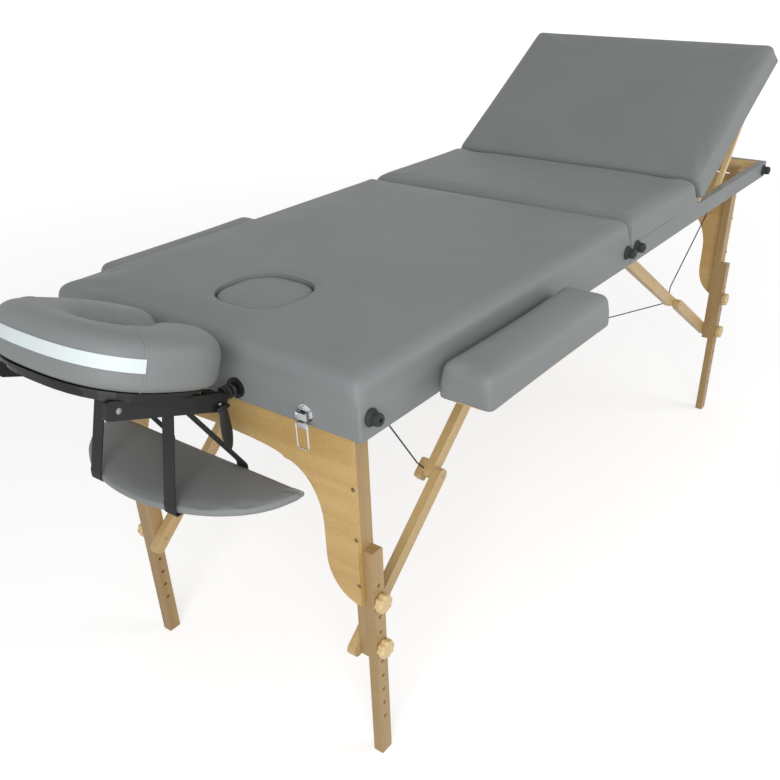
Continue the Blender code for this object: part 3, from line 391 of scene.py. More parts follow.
@dataclass(frozen=True)
class VinylFinish:
    """Matt embossed vinyl over foam."""

    name: str
    colour: Colour = (123, 126, 126)
    slot: Slot = Slot.VINYL
    rough: Pair = (0.48, 0.54)
    mottle: Pair = (0.985, 1.015)
    specular: float = 0.26

    def material(self) -> Material:
        """Wire the colour's slow mottle, the sheen's smudges and the embossed bump.

        Returns:
            The finished material.
        """
        coat = Coat(self.name)
        pebble = coat.group(EFFECTS.pebble, coat.place)
        dark, light = (linear(*(value * share for value in self.colour)) for share in self.mottle)
        coat.feed(coat.shader, Specular_IOR_Level=self.specular)
        return coat.finished(coat.mix(pebble.outputs["Mottle"], dark, light), coat.marks(), self.rough,
                             pebble.outputs["Height"], strength=0.22, depth=0.0006)


@dataclass(frozen=True)
class WoodFinish:
    """Clear-lacquered wood with its grain along the piece."""

    name: str
    light: Colour
    dark: Colour
    grain: Grain
    slot: Slot
    roughness: float = 0.42
    fleck: float = 0.42

    def material(self) -> Material:
        """Wire the streaks and flecks along the grain, under a satin lacquer.

        Returns:
            The finished material.
        """
        coat = Coat(self.name)
        axis, angle = self.grain.value
        turn = coat.add("ShaderNodeVectorRotate", {"rotation_type": "AXIS_ANGLE"}, Vector=coat.place,
                        Axis=axis, Angle=math.radians(angle))
        figure = coat.group(EFFECTS.figure, turn.outputs[0])
        tone = coat.mix(figure.outputs["Tone"], linear(*self.light), linear(*self.dark))
        fleck = coat.span(figure.outputs["Fleck"], 0.0, self.fleck)
        return coat.finished(coat.mix(fleck, tone, shaded(self.dark, 0.72)), coat.marks(),
                             (self.roughness - 0.06, self.roughness + 0.08), figure.outputs["Fleck"],
                             strength=0.18, sunk=True)


@dataclass(frozen=True)
class MouldedFinish:
    """Moulded plastic or rubber with a fine tooled texture."""

    name: str
    colour: Colour
    roughness: float
    slot: Slot
    texture: float = 0.16
    specular: float = 0.3

    def material(self) -> Material:
        """Wire the tooled bump and the smudges of handling.

        Returns:
            The finished material.
        """
        coat = Coat(self.name)
        marks = coat.marks()
        colour = coat.mix(marks.outputs["Smudge"], linear(*self.colour), shaded(self.colour, 1.35, 4))
        coat.feed(coat.shader, Specular_IOR_Level=self.specular)
        return coat.finished(colour, marks, (self.roughness - 0.07, self.roughness + 0.09),
                             marks.outputs["Dust"], strength=self.texture)


@dataclass(frozen=True)
class MetalFinish:
    """Plated, plain or blackened steel."""

    name: str
    colour: Colour
    roughness: float
    slot: Slot
    metallic: float = 1.0

    def material(self) -> Material:
        """Wire the tone and gloss that handling leaves on the metal.

        Returns:
            The finished material.
        """
        coat = Coat(self.name)
        marks = coat.marks()
        colour = coat.mix(marks.outputs["Smudge"], linear(*self.colour), shaded(self.colour, 0.86))
        coat.feed(coat.shader, Metallic=self.metallic)
        return coat.finished(colour, marks, (self.roughness, self.roughness + 0.12), marks.outputs["Dust"],
                             strength=0.05, depth=0.0002)


@dataclass(frozen=True)
class TapeFinish:
    """Woven tape, on the piece's own metric map."""

    name: str
    colour: Colour
    slot: Slot
    roughness: float = 0.78

    def material(self) -> Material:
        """Wire the weave's bump and the shade between its threads.

        Returns:
            The finished material.
        """
        coat = Coat(self.name)
        tape = coat.add("ShaderNodeUVMap", {"uv_map": "tape"}).outputs[0]
        weave = coat.group(EFFECTS.weave, tape)
        colour = coat.mix(weave.outputs["Thread"], shaded(self.colour, 0.8), linear(*self.colour))
        return coat.finished(colour, coat.marks(), (self.roughness - 0.06, self.roughness + 0.08),
                             weave.outputs["Height"], strength=0.35)


Finish = VinylFinish | WoodFinish | MouldedFinish | MetalFinish | TapeFinish

ARM_TONES = ((197, 170, 122), (176, 147, 100))
VINYL = VinylFinish("grey_vinyl")
SEAM_VINYL = VinylFinish("seam_vinyl", (141, 144, 144))
PANEL_WOOD = WoodFinish("panel_wood", (193, 161, 103), (178, 144, 86), Grain.CROSSWISE, Slot.PALE_WOOD)
RAIL_WOOD = WoodFinish("rail_wood", (212, 189, 143), (196, 169, 120), Grain.LENGTHWISE, Slot.PALE_WOOD)
PROP_WOOD = WoodFinish("prop_wood", (219, 198, 152), (204, 179, 130), Grain.PROP, Slot.PALE_WOOD)
LEG_WOOD = WoodFinish("leg_wood", (164, 137, 92), (146, 117, 75), Grain.UPRIGHT, Slot.LEG_WOOD)
HEAD_ARM_WOOD = WoodFinish("head_brace_wood", *ARM_TONES, Grain.HEAD_BRACE, Slot.LEG_WOOD)
FOOT_ARM_WOOD = WoodFinish("foot_brace_wood", *ARM_TONES, Grain.FOOT_BRACE, Slot.LEG_WOOD)
KNOB_WOOD = WoodFinish("knob_wood", (212, 186, 136), (193, 163, 112), Grain.UPRIGHT, Slot.KNOB_WOOD)
PLYWOOD = WoodFinish("plywood", (214, 192, 152), (196, 171, 130), Grain.LENGTHWISE, Slot.PLYWOOD, 0.6)
BLACK_PLASTIC = MouldedFinish("black_plastic", (21, 22, 23), 0.42, Slot.BLACK_PLASTIC)
RUBBER = MouldedFinish("bumper_rubber", (33, 35, 36), 0.62, Slot.RUBBER, 0.3)
CABLE_COAT = MouldedFinish("cable_coat", (22, 22, 23), 0.5, Slot.BLACK_STEEL)
BLACK_STEEL = MetalFinish("black_steel", (46, 46, 48), 0.34, Slot.BLACK_STEEL, 0.6)
STEEL = MetalFinish("plain_steel", (176, 177, 179), 0.3, Slot.STEEL)
DULL_STEEL = MetalFinish("screw_steel", (128, 114, 88), 0.4, Slot.STEEL)
CHROME = MetalFinish("latch_chrome", (214, 215, 217), 0.12, Slot.CHROME)
STRAP_TAPE = TapeFinish("strap_tape", (23, 24, 26), Slot.BLACK_PLASTIC)
WHITE_TAPE = TapeFinish("white_tape", (226, 236, 237), Slot.VINYL, 0.55)

MATERIALS: dict[str, Material] = {}


def material_of(finish: Finish) -> Material:
    """Material of a finish, wired the first time it is asked for.

    Args:
        finish: Finish that is asked for.

    Returns:
        Its only material.
    """
    if finish.name not in MATERIALS:
        MATERIALS[finish.name] = finish.material()
    return MATERIALS[finish.name]


def unit(vector: Sequence[float] | Array) -> Array:
    """Vectors scaled to length one along the last axis."""
    array = np.asarray(vector, float)
    return array / np.linalg.norm(array, axis=-1, keepdims=True)


def turns(count: int) -> Array:
    """Angles of points spaced evenly round a circle."""
    return np.linspace(0, 2 * np.pi, count, endpoint=False)


def walked(path: Array) -> Array:
    """Distance along a line at each of its points."""
    return np.concatenate([[0], np.cumsum(np.linalg.norm(np.diff(path, axis=0), axis=1))])


@dataclass
class Shape:
    """Points, quads and end caps of a surface before it becomes a mesh."""

    points: Array
    quads: Array
    caps: list[list[int]]

    def __add__(self, other: "Shape") -> "Shape":
        """Both shapes as one, with the second one's vertex numbers moved up.

        Args:
            other: Second shape.

        Returns:
            The joined shape.
        """
        start = len(self.points)
        caps = self.caps + [[number + start for number in cap] for cap in other.caps]
        points = np.vstack([self.points, other.points])
        return Shape(points, np.vstack([self.quads, other.quads + start]), caps)

    def volume(self) -> float:
        """Signed volume: a sixth of the triple products of all fan triangles.

        Returns:
            The volume.
        """
        fans = [self.quads[:, [0, 1, 2]], self.quads[:, [0, 2, 3]]]
        fans += [np.array([[cap[0], a, b] for a, b in zip(cap[1:-1], cap[2:])]) for cap in self.caps]
        corner = self.points[np.vstack(fans)]
        return float(np.einsum("ij,ij->i", corner[:, 0], np.cross(corner[:, 1], corner[:, 2])).sum() / 6)

    def outward(self) -> "Shape":
        """The closed shape with its faces turned outwards.

        Returns:
            The shape.
        """
        if self.volume() >= 0:
            return self
        return Shape(self.points, self.quads[:, ::-1], [cap[::-1] for cap in self.caps])

    def placed(self, matrix: Matrix) -> "Shape":
        """The shape moved by a matrix, its faces outwards."""
        move = np.array(matrix)
        return Shape(self.points @ move[:3, :3].T + move[:3, 3], self.quads, self.caps).outward()

    def turned(self, degrees: float, x: float, z: float) -> "Shape":
        """The shape turned about a line along Y.

        Args:
            degrees: Angle of the turn.
            x: X of the line.
            z: Z of the line.

        Returns:
            The turned shape.
        """
        angle = math.radians(degrees)
        cos, sin = math.cos(angle), math.sin(angle)
        centre = np.array((x, 0.0, z))
        turn = np.array([[cos, 0, sin], [0, 1, 0], [-sin, 0, cos]])
        return Shape((self.points - centre) @ turn.T + centre, self.quads, self.caps)


def merged(shapes: Sequence[Shape]) -> Shape:
    """Several shapes as one, in order."""
    return sum(shapes[1:], shapes[0])


def cells(numbers: Array) -> Array:
    """Quads of a grid of vertex numbers: the four corners of each cell in turn."""
    low, high = numbers[:-1], numbers[1:]
    return np.stack([low[:, :-1], low[:, 1:], high[:, 1:], high[:, :-1]], -1).reshape(-1, 4)


def rings(points: Array, loop: bool = False) -> Shape:
    """Surface through closed rings: row i, column j joins its neighbours, and columns wrap round.

    Args:
        points: Rings as rows of points.
        loop: Whether the last ring joins the first. If not, a face closes each end.

    Returns:
        The closed shape.
    """
    rows, columns = points.shape[:2]
    numbers = np.arange(rows * columns).reshape(rows, columns)
    wrapped = np.hstack([numbers, numbers[:, :1]])
    wrapped = np.vstack([wrapped, wrapped[:1]]) if loop else wrapped
    caps = [] if loop else [numbers[0][::-1].tolist(), numbers[-1].tolist()]
    return Shape(points.reshape(-1, 3), cells(wrapped), caps).outward()


def lathe(profile: Sequence[Pair], origin: Point, axis: Point, count: int = 28) -> Shape:
    """Turned form: each profile radius swept in a circle at its distance along the axis.

    Args:
        profile: Radius and distance along the axis, from end to end.
        origin: Start of the axis.
        axis: Direction of the axis.
        count: Points round the circle.

    Returns:
        The closed shape.
    """
    way = unit(axis)
    askew = (0.31, 0.87, 0.38)
    first = unit(np.cross(way, askew))
    second = np.cross(way, first)
    angle = turns(count)[None, :, None]
    radius, height = np.array(profile).T[:, :, None, None]
    return rings(np.array(origin) + height * way + radius * (np.cos(angle) * first + np.sin(angle) * second))


def tube(path: Array, radius: float, count: int = 10, loop: bool = False) -> Shape:
    """Round wire: a circle carried along a path, square to its direction.

    Args:
        path: Points of the centre line.
        radius: Wire radius.
        count: Points round the wire.
        loop: Whether the path closes on itself.

    Returns:
        The closed shape.
    """
    way = unit(np.roll(path, -1, 0) - np.roll(path, 1, 0) if loop else np.gradient(path, axis=0))
    askew = (0.143, 0.271, 0.952)
    level = unit(np.cross(way, askew))
    angle = turns(count)[None, :, None]
    ring = np.cos(angle) * level[:, None] + np.sin(angle) * np.cross(way, level)[:, None]
    return rings(path[:, None] + radius * ring, loop)


def ribbon(path: Array, across: Point, width: float, thickness: float) -> Shape:
    """Flat tape: a thin rectangle carried along a path, its width along one fixed direction.

    Args:
        path: Points of the centre line.
        across: Direction of the width.
        width: Tape width.
        thickness: Tape thickness.

    Returns:
        The closed shape.
    """
    side = unit(across)
    face = unit(np.cross(unit(np.gradient(path, axis=0)), side))[:, None]
    half = np.array([-1, 1, 1, -1])[None, :, None] * side * width / 2
    lift = np.array([-1, -1, 1, 1])[None, :, None] * face * thickness / 2
    return rings(path[:, None] + half + lift)


def trail(points: Sequence[Point], spacing: float) -> Array:
    """Points along straight runs, at about equal spacing, each given point kept.

    Args:
        points: Corners of the line.
        spacing: Largest distance between points.

    Returns:
        The points from end to end.
    """
    stops = np.array(points, float)
    runs = [np.linspace(a, b, max(2, int(np.linalg.norm(b - a) / spacing) + 1))[:-1]
            for a, b in zip(stops[:-1], stops[1:])]
    return np.vstack(runs + [stops[-1:]])


def on_frame(point: Sequence[float]) -> Point:
    """A point given from the fold line, in the frame's own X."""
    return (float(point[0]) + FOLD, float(point[1]), float(point[2]))


def stand(name: str, data: bpy.types.ID) -> Piece:
    """A new object in the scene.

    Args:
        name: Object name.
        data: Mesh, camera or light.

    Returns:
        The new object.
    """
    piece = bpy.data.objects.new(name, data)
    bpy.context.scene.collection.objects.link(piece)
    return piece


def make(name: str, shape: Shape, finish: Finish, body: str, replaced: Sequence[str] = (),
         sharp: float = 40.0) -> Piece:
    """Turn a shape into a piece that rides on a body.

    Args:
        name: Piece name.
        shape: Closed shape, with X from the fold line.
        finish: Finish it is dressed in.
        body: Body that it rides on.
        replaced: CAD nodes that it stands for.
        sharp: Angle in degrees past which an edge stays crisp.

    Returns:
        The new object.
    """
    mesh = bpy.data.meshes.new(name)
    mesh.from_pydata((shape.points + (FOLD, 0, 0)).tolist(), [], shape.quads.tolist() + shape.caps)
    mesh.validate()
    mesh.shade_smooth()
    mesh.set_sharp_from_angle(angle=math.radians(sharp))
    mesh.materials.append(material_of(finish))
    piece = stand(name, mesh)
    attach(piece, body)
    if replaced:
        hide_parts(*replaced)
    LOG.info("%s on %s: %d faces", name, body, len(mesh.polygons))
    return piece


def map_tape(piece: Piece, along: Array, across: Array) -> None:
    """Give a tape its metric map: distance along it and across it at each vertex.

    Args:
        piece: Tape whose vertices are rings along it.
        along: Distance along the tape at each ring.
        across: Distance across the tape at each point of a ring.
    """
    uv = np.stack(np.broadcast_arrays(along[:, None], across[None]), -1).reshape(-1, 2)
    layer = piece.data.uv_layers.new(name="tape")
    corner = np.empty(len(piece.data.loops), int)
    piece.data.loops.foreach_get("vertex_index", corner)
    layer.data.foreach_set("uv", uv[corner].astype(np.float32).ravel())


def places(mesh: bpy.types.Mesh, kind: str = "co") -> Array:
    """Vertex places of a mesh, or its vertex normals.

    Args:
        mesh: Mesh that is read.
        kind: Vertex value: co or normal.

    Returns:
        One row for each vertex.
    """
    flat = np.empty(len(mesh.vertices) * 3)
    mesh.vertices.foreach_get(kind, flat)
    return flat.reshape(-1, 3)


def put(mesh: bpy.types.Mesh, points: Array) -> None:
    """Move a mesh's vertices to new places."""
    mesh.vertices.foreach_set("co", points.ravel())
    mesh.update()


def settle(piece: Piece) -> None:
    """Make a piece's modifiers part of its mesh.

    Args:
        piece: Piece that is changed.
    """
    graph = bpy.context.evaluated_depsgraph_get()
    old = piece.data
    piece.data = bpy.data.meshes.new_from_object(piece.evaluated_get(graph))
    piece.modifiers.clear()
    piece.data.name = piece.name
    bpy.data.meshes.remove(old)


def subdivide(piece: Piece) -> None:
    """Round a piece by one level of subdivision and make it part of the mesh.

    Args:
        piece: Piece that is changed.
    """
    smooth = piece.modifiers.new("smooth", "SUBSURF")
    smooth.levels = smooth.render_levels = 1
    settle(piece)


@dataclass(frozen=True)
class CoverCloth:
    """Cloth that blows a pad's cover up by its inside pressure."""

    quality: int = 4
    mass: float = 0.25
    stiffness: float = 25
    bending: float = 2
    pressure: float = 4.0
    frames: int = 20

    def fit(self, piece: Piece, held: Array) -> None:
        """Put the cloth on a cover, with the masked vertices held.

        Args:
            piece: Closed cover.
            held: Mask of the vertices that stay.
        """
        group = piece.vertex_groups.new(name="held")
        group.add(np.flatnonzero(held).tolist(), 1.0, "REPLACE")
        settings = piece.modifiers.new("cover", "CLOTH").settings
        settings.quality = self.quality
        settings.mass = self.mass
        settings.tension_stiffness = settings.compression_stiffness = self.stiffness
        settings.bending_stiffness = self.bending
        settings.use_pressure = True
        settings.uniform_pressure_force = self.pressure
        settings.effector_weights.gravity = 0
        settings.vertex_group_mass = "held"

    def swell(self, piece: Piece, held: Array, cap: float) -> None:
        """Blow a closed cover up, its underside held, and limit each point's move.

        A move of length m becomes cap times the hyperbolic tangent of m over cap.

        Args:
            piece: Closed cover.
            held: Mask of the vertices that stay on what carries the pad.
            cap: Largest move in metres.
        """
        start = places(piece.data)
        self.fit(piece, held)
        scene = bpy.context.scene
        for number in range(1, self.frames + 1):
            scene.frame_set(number)
        blown = piece.evaluated_get(bpy.context.evaluated_depsgraph_get())
        move = places(blown.data) - start
        length = np.maximum(np.linalg.norm(move, axis=1, keepdims=True), 1e-9)
        piece.modifiers.clear()
        piece.vertex_groups.clear()
        final = start + move * (cap * np.tanh(length / cap) / length)
        put(piece.data, final)
        scene.frame_set(1)
        most = 1000 * np.linalg.norm(final - start, axis=1).max()
        LOG.info("%s swelled by %.1f mm at most", piece.name, most)


COVER = CoverCloth()


def round_over(radius: float, top: float, corner: float, count: int = 7) -> list[Row]:
    """Rows of a rounded upper edge: inset r(1 - sin a), height top - r(1 - cos a).

    Args:
        radius: Radius r of the edge.
        top: Height of the top.
        corner: Corner radius in plan at the foot of the edge.
        count: Number of rows, with a from 0 to 90 degrees.

    Returns:
        The rows from the top downwards.
    """
    angle = np.linspace(0, np.pi / 2, count)
    inset = radius * (1 - np.sin(angle))
    height = top - radius * (1 - np.cos(angle))
    rows = np.column_stack([inset, height, np.maximum(corner - inset, corner / 2)])
    return [tuple(row) for row in rows.tolist()]


@dataclass
class PadForm:
    """Padded form: a crowned top, a wall of rows and a flat underside.

    The top and the underside are grids over u and v from -1 to 1, and each wall row is the grid's rim,
    moved in by the row's inset at the row's height. A row is an inset, a height and a corner radius in plan.
    Where plain gives a side and a station, the last rows, the hem, stay up beyond that station.
    """

    centre: Pair
    half: Pair
    rows: list[Row]
    spacing: float
    crown: float = 0.004
    plan: Plan = Plan.RECTANGLE
    power: float = 2.5
    pull: float = 0.0015
    plain: tuple[int, float] | None = None
    hem: int = 4
    hem_step: float = 1e-5
    edge_lines: Pair = (0.0025, 0.0065)
    moon_reach: float = 0.996

    def outline(self, u: Array, v: Array, inset: float, corner: float) -> Array:
        """Place in plan of grid coordinates, for an inset.

        A rectangle has its corners rounded and its sides drawn in by pull between them. An oval is the
        grid's square stretched to a superellipse. A half moon has a straight edge at u = 1 and an
        elliptic edge at u = -1.

        Args:
            u: Grid coordinate along X.
            v: Grid coordinate along Y.
            inset: Distance that the outline is moved in.
            corner: Radius of a rectangle's corners.

        Returns:
            X and Y, along the last axis.
        """
        half = np.array(self.half) - inset
        if self.plan is Plan.OVAL:
            reach = np.maximum(np.maximum(np.abs(u), np.abs(v)), TINY)
            size = (np.abs(u / reach) ** self.power + np.abs(v / reach) ** self.power) ** (1 / self.power)
            return np.stack([u / size, v / size], -1) * half + self.centre
        if self.plan is Plan.HALF_MOON:
            depth = np.sqrt(1 - (self.moon_reach * v) ** 2)
            return np.stack([half[0] * (1 - (1 - u) * depth), half[1] * v], -1) + self.centre
        point = np.stack([u, v], -1) * half
        core = np.clip(point, corner - half, half - corner)
        out = point - core
        length = np.maximum(np.linalg.norm(out, axis=-1, keepdims=True), TINY)
        point = core + out * (np.abs(out).max(-1, keepdims=True) / length)
        draw = self.pull * np.stack([u * (1 - v ** 2), v * (1 - u ** 2)], -1)
        return point - draw + self.centre

    def grid(self) -> tuple[Array, Array]:
        """Grid coordinates u and v at about the form's spacing, closer together at a rectangle's edges.

        Returns:
            u and v as two grids.
        """
        lines = []
        for half in self.half:
            line = np.linspace(-1, 1, max(6, int(2 * half / self.spacing)) + 1)
            if self.plan is Plan.RECTANGLE:
                near = 1 - np.array(self.edge_lines) / half
                line = np.unique(np.concatenate([line, near, -near]))
            lines.append(line)
        return np.meshgrid(*lines)

    @staticmethod
    def rim(numbers: Array) -> Array:
        """Grid values round the rim, in order."""
        return np.concatenate([numbers[0, :-1], numbers[:-1, -1], numbers[-1, :0:-1], numbers[:0:-1, 0]])

    def level(self, place: Array, z: float, row: int) -> Array:
        """Height of a wall row: the rows of the hem stay up on the side that has none.

        Args:
            place: Row's points in plan.
            z: Row's height.
            row: Row's number.

        Returns:
            The height at each point.
        """
        height = np.full(place.shape[:-1], z)
        if self.plain and row >= len(self.rows) - self.hem:
            side, station = self.plain
            up = self.rows[-1][1] - self.hem_step * (len(self.rows) - 1 - row)
            height = np.where(side * place[..., 0] > side * station, up, height)
        return height

    def walls(self, u: Array, v: Array, numbers: range) -> list[Array]:
        """Rings of the wall's rows with these numbers, over the grid's rim.

        Args:
            u: Grid coordinate along X.
            v: Grid coordinate along Y.
            numbers: Numbers of the rows.

        Returns:
            One ring of points for each row.
        """
        found = []
        for row in numbers:
            inset, z, corner = self.rows[row]
            ring = self.outline(self.rim(u), self.rim(v), inset, corner)
            found.append(np.column_stack([ring, self.level(ring, z, row)]))
        return found

    def shape(self) -> Shape:
        """Closed surface of the form: the top's grid, the wall's rings and the underside's grid.

        Returns:
            The closed shape.
        """
        u, v = self.grid()
        numbers = np.arange(u.size).reshape(u.shape)
        inset, z, corner = self.rows[0]
        rise = z + self.crown * (1 - u ** 2) * (1 - v ** 2)
        top = np.dstack([self.outline(u, v, inset, corner), rise])
        walls = self.walls(u, v, range(1, len(self.rows) - 1))
        inset, z, corner = self.rows[-1]
        bottom = np.dstack([self.outline(u, v, inset, corner), np.full(u.shape, z)])
        points = np.vstack([top.reshape(-1, 3), *walls, bottom.reshape(-1, 3)])
        rim = self.rim(numbers)
        start = u.size + len(rim) * np.arange(len(walls))[:, None]
        below = numbers + u.size + len(rim) * len(walls)
        ladder = np.vstack([rim, start + np.arange(len(rim)), self.rim(below)])
        strip = cells(np.hstack([ladder, ladder[:, :1]]))
        quads = np.vstack([cells(numbers), strip[:, ::-1], cells(below)[:, ::-1]])
        return Shape(points, quads, []).outward()

    def band(self) -> Shape:
        """The wall's rows alone, as a band whose last row joins its first."""
        return rings(np.array(self.walls(*self.grid(), range(len(self.rows)))), loop=True)


def pad(name: str, form: PadForm, body: str, node: str, hold: float, cap: float,
        sharp: float = 40.0, turn: Row | None = None) -> Piece:
    """Make a pad's cover, blow it up and round it.

    Args:
        name: Piece name.
        form: Form of the cover.
        body: Body that it rides on.
        node: CAD node that it stands for.
        hold: Height below which the form is held.
        cap: Largest move of the cover in metres.
        sharp: Angle in degrees past which an edge stays crisp.
        turn: Degrees, X and Z of a turn of the whole form about a line along Y.

    Returns:
        The new object.
    """
    shape = form.shape()
    held = shape.points[:, 2] < hold
    piece = make(name, shape.turned(*turn) if turn else shape, VINYL, body, [node], sharp)
    COVER.swell(piece, held, cap)
    subdivide(piece)
    return piece


@dataclass
class Top:
    """The three padded sections, the plug and the vinyl wrapped round the frame."""

    end: float = 0.9305
    side: float = 0.3558
    fold: float = 0.0005
    vinyl: float = 0.0008
    frame_bottom: float = 0.74
    frame_top: float = 0.78
    skirt_reach: float = 0.012
    flap: float = 0.0183
    deck_end: float = 0.398
    deck_zone: float = 0.0137
    deck_step: float = 0.0004
    pad_bottom: float = 0.7857
    pad_top: float = 0.8406
    edge: float = 0.026
    spacing: float = 0.0125
    puff: float = 0.004
    hold: float = 0.795
    fill: float = 0.9
    foot_end: float = 0.3875
    back_start: float = 0.4125
    hinge: Pair = (0.40, 0.7828)
    back_angle: float = -30.5
    plug_x: float = -0.745
    plug_half: Pair = (0.078, 0.082)
    plug_power: float = 2.5
    plug_gap: float = 0.0004
    plug_play: float = 0.0006
    plug_edge: float = 0.011
    plug_drop: float = 0.001
    groove: float = 0.0042
    groove_width: float = 0.008
    groove_above: float = 0.82
    soft_corner: float = 0.024
    tight_corner: float = 0.004

    def tight(self, *rows: Pair) -> list[Row]:
        """Rows with the frame's own tight corners."""
        return [(inset, z, self.tight_corner) for inset, z in rows]

    def wall(self, *heights: float) -> list[Row]:
        """Rows of a wall whose corners tighten evenly from the soft edge down to the frame's top.

        Args:
            *heights: Heights of the rows, from the top down.

        Returns:
            The rows.
        """
        z = np.array(heights)
        share = np.clip((z - self.pad_bottom) / (self.pad_top - self.edge - self.pad_bottom), 0, 1)
        corner = self.tight_corner + share * (self.soft_corner - self.tight_corner)
        return [(0.0, *row) for row in zip(z.tolist(), corner.tolist())]

    def skirt(self) -> list[Pair]:
        """Insets and heights of a hem that goes down the frame, under its edge and back up inside.

        Returns:
            The pairs from the top down.
        """
        low, reach, thin = self.frame_bottom, self.skirt_reach, self.vinyl
        return [(0.0, low + 0.004), (0.0004, low), (0.0014, low - 0.0009), (reach, low - 0.0009),
                (reach, low - 0.0002), (thin, low - 0.0002), (thin, self.pad_bottom)]

    def form(self, start: float, end: float, rows: list[Row], spacing: float,
             plain: tuple[int, float] | None = None) -> PadForm:
        """A form over the table's whole width, between two stations."""
        return PadForm(((start + end) / 2, 0.0), ((end - start) / 2, self.side), rows, spacing, plain=plain)

    def hemmed(self, low: float, under: float, inside: float) -> list[Row]:
        """Rows of a section whose wall goes down to a height and turns in under its board."""
        return (round_over(self.edge, self.pad_top, self.soft_corner) + self.wall(0.806, 0.7965, low)
                + self.tight((0.0003, under), (0.0008, inside), (0.0009, self.pad_bottom)))

    def head_section(self) -> None:
        """Head section: one cover from the top down round the frame, with the breathing hole."""
        rows = (round_over(self.edge, self.pad_top, self.soft_corner)
                + self.wall(0.806, 0.797, 0.7855, 0.76) + self.tight(*self.skirt()))
        form = self.form(-self.end, -self.fold, rows, self.spacing)
        piece = pad("head_section_cover", form, "head_half", "head_pad", hold=0.79, cap=self.puff)
        self.sink_round_plug(piece)
        self.cut_hole(piece)

    def sink_round_plug(self, piece: Piece) -> None:
        """Draw the cover down round the breathing hole: depth times exp(-(d / w) squared).

        Args:
            piece: Head section's cover.
        """
        point = places(piece.data)
        offset = np.abs(point[:, :2] - (self.plug_x + FOLD, 0.0)) / self.plug_half
        ratio = (offset ** self.plug_power).sum(1) ** (1 / self.plug_power)
        distance = (ratio - 1) * self.plug_half[0]
        above = point[:, 2] > self.groove_above
        point[:, 2] -= self.groove * np.exp(-(distance / self.groove_width) ** 2) * above
        put(piece.data, point)

    def cut_hole(self, piece: Piece) -> None:
        """Cut the breathing hole through the cover with an oval prism.

        Args:
            piece: Head section's cover.
        """
        half = tuple(size + self.plug_gap for size in self.plug_half)
        rows = [(0.0, 0.90, 0.0), (0.0, 0.77, 0.0)]
        prism = PadForm((self.plug_x, 0.0), half, rows, spacing=0.006, crown=0.0, plan=Plan.OVAL,
                        power=self.plug_power)
        cutter = make("hole_cutter", prism.shape(), VINYL, "head_half")
        cut = piece.modifiers.new("hole", "BOOLEAN")
        cut.operation = "DIFFERENCE"
        cut.solver = "EXACT"
        cut.object = cutter
        settle(piece)
        bpy.data.objects.remove(cutter, do_unlink=True)
        piece.data.shade_smooth()
        piece.data.set_sharp_from_angle(angle=math.radians(50))

    def plug(self) -> None:
        """Breathing-hole plug: a small oval pad."""
        rows = round_over(self.plug_edge, self.pad_top - self.plug_drop, 0.0, 6)
        rows += self.wall(0.81, self.pad_bottom + 0.004) + self.tight((0.002, self.pad_bottom))
        half = tuple(size - self.plug_play for size in self.plug_half)
        form = PadForm((self.plug_x, 0.0), half, rows, spacing=0.007, plan=Plan.OVAL, power=self.plug_power)
        pad("breathing_plug_cover", form, "plug", "breathing_plug", hold=0.815, cap=0.003)

    def foot_section(self) -> None:
        """Middle section on the foot half."""
        rows = self.hemmed(0.7862, 0.7838, 0.7839)
        form = self.form(self.fold, self.foot_end, rows, self.spacing, (1, 0.38))
        pad("foot_section_cover", form, "foot_half", "foot_pad", self.hold, self.puff)

    def back_section(self) -> None:
        """Lifting backrest: its cover goes down round the board's edges."""
        rows = self.hemmed(0.7815, 0.7803, 0.7804)
        form = self.form(self.back_start, self.end, rows, self.spacing, (-1, 0.42))
        pad("backrest_cover", form, "backrest", "backrest_pad", self.hold, self.puff,
            turn=(self.back_angle, *self.hinge))

    def rail_wrap(self) -> None:
        """Vinyl stretched round the outside of the foot half's frame.

        Where the deck ends it goes over the rail's top, and before that it goes up the deck's edge.
        """
        thin, top, low = self.vinyl, self.frame_top, self.pad_bottom
        sides = [(0.0, 0.77), (0.0, 0.75), *self.skirt()[:-1], (thin, top - 0.0002)]
        ends = (([(0.0, low - 0.0003)] * 2, [(thin, low - 0.0005)] * 2),
                ([(thin, top + 0.00022), (0.0, top - 0.0006)],
                 [(self.flap, top + 0.00004), (self.flap, top + 0.00022)]))
        deck, bare = (self.form(self.fold, self.end, self.tight(*first, *sides, *last), spacing=0.02).band()
                      for first, last in ends)
        step = deck.points[:, :1] - self.deck_end
        points = np.where(step < 0, deck.points, bare.points)
        near = np.abs(step[:, 0]) < self.deck_zone
        points[near, 0] = self.deck_end + self.deck_step * np.sign(step[near, 0])
        make("foot_rail_wrap", Shape(points, bare.quads, []).outward(), VINYL, "foot_half")

    def build(self) -> None:
        """Build every padded section and the wrap."""
        self.head_section()
        self.plug()
        self.foot_section()
        self.back_section()
        self.rail_wrap()


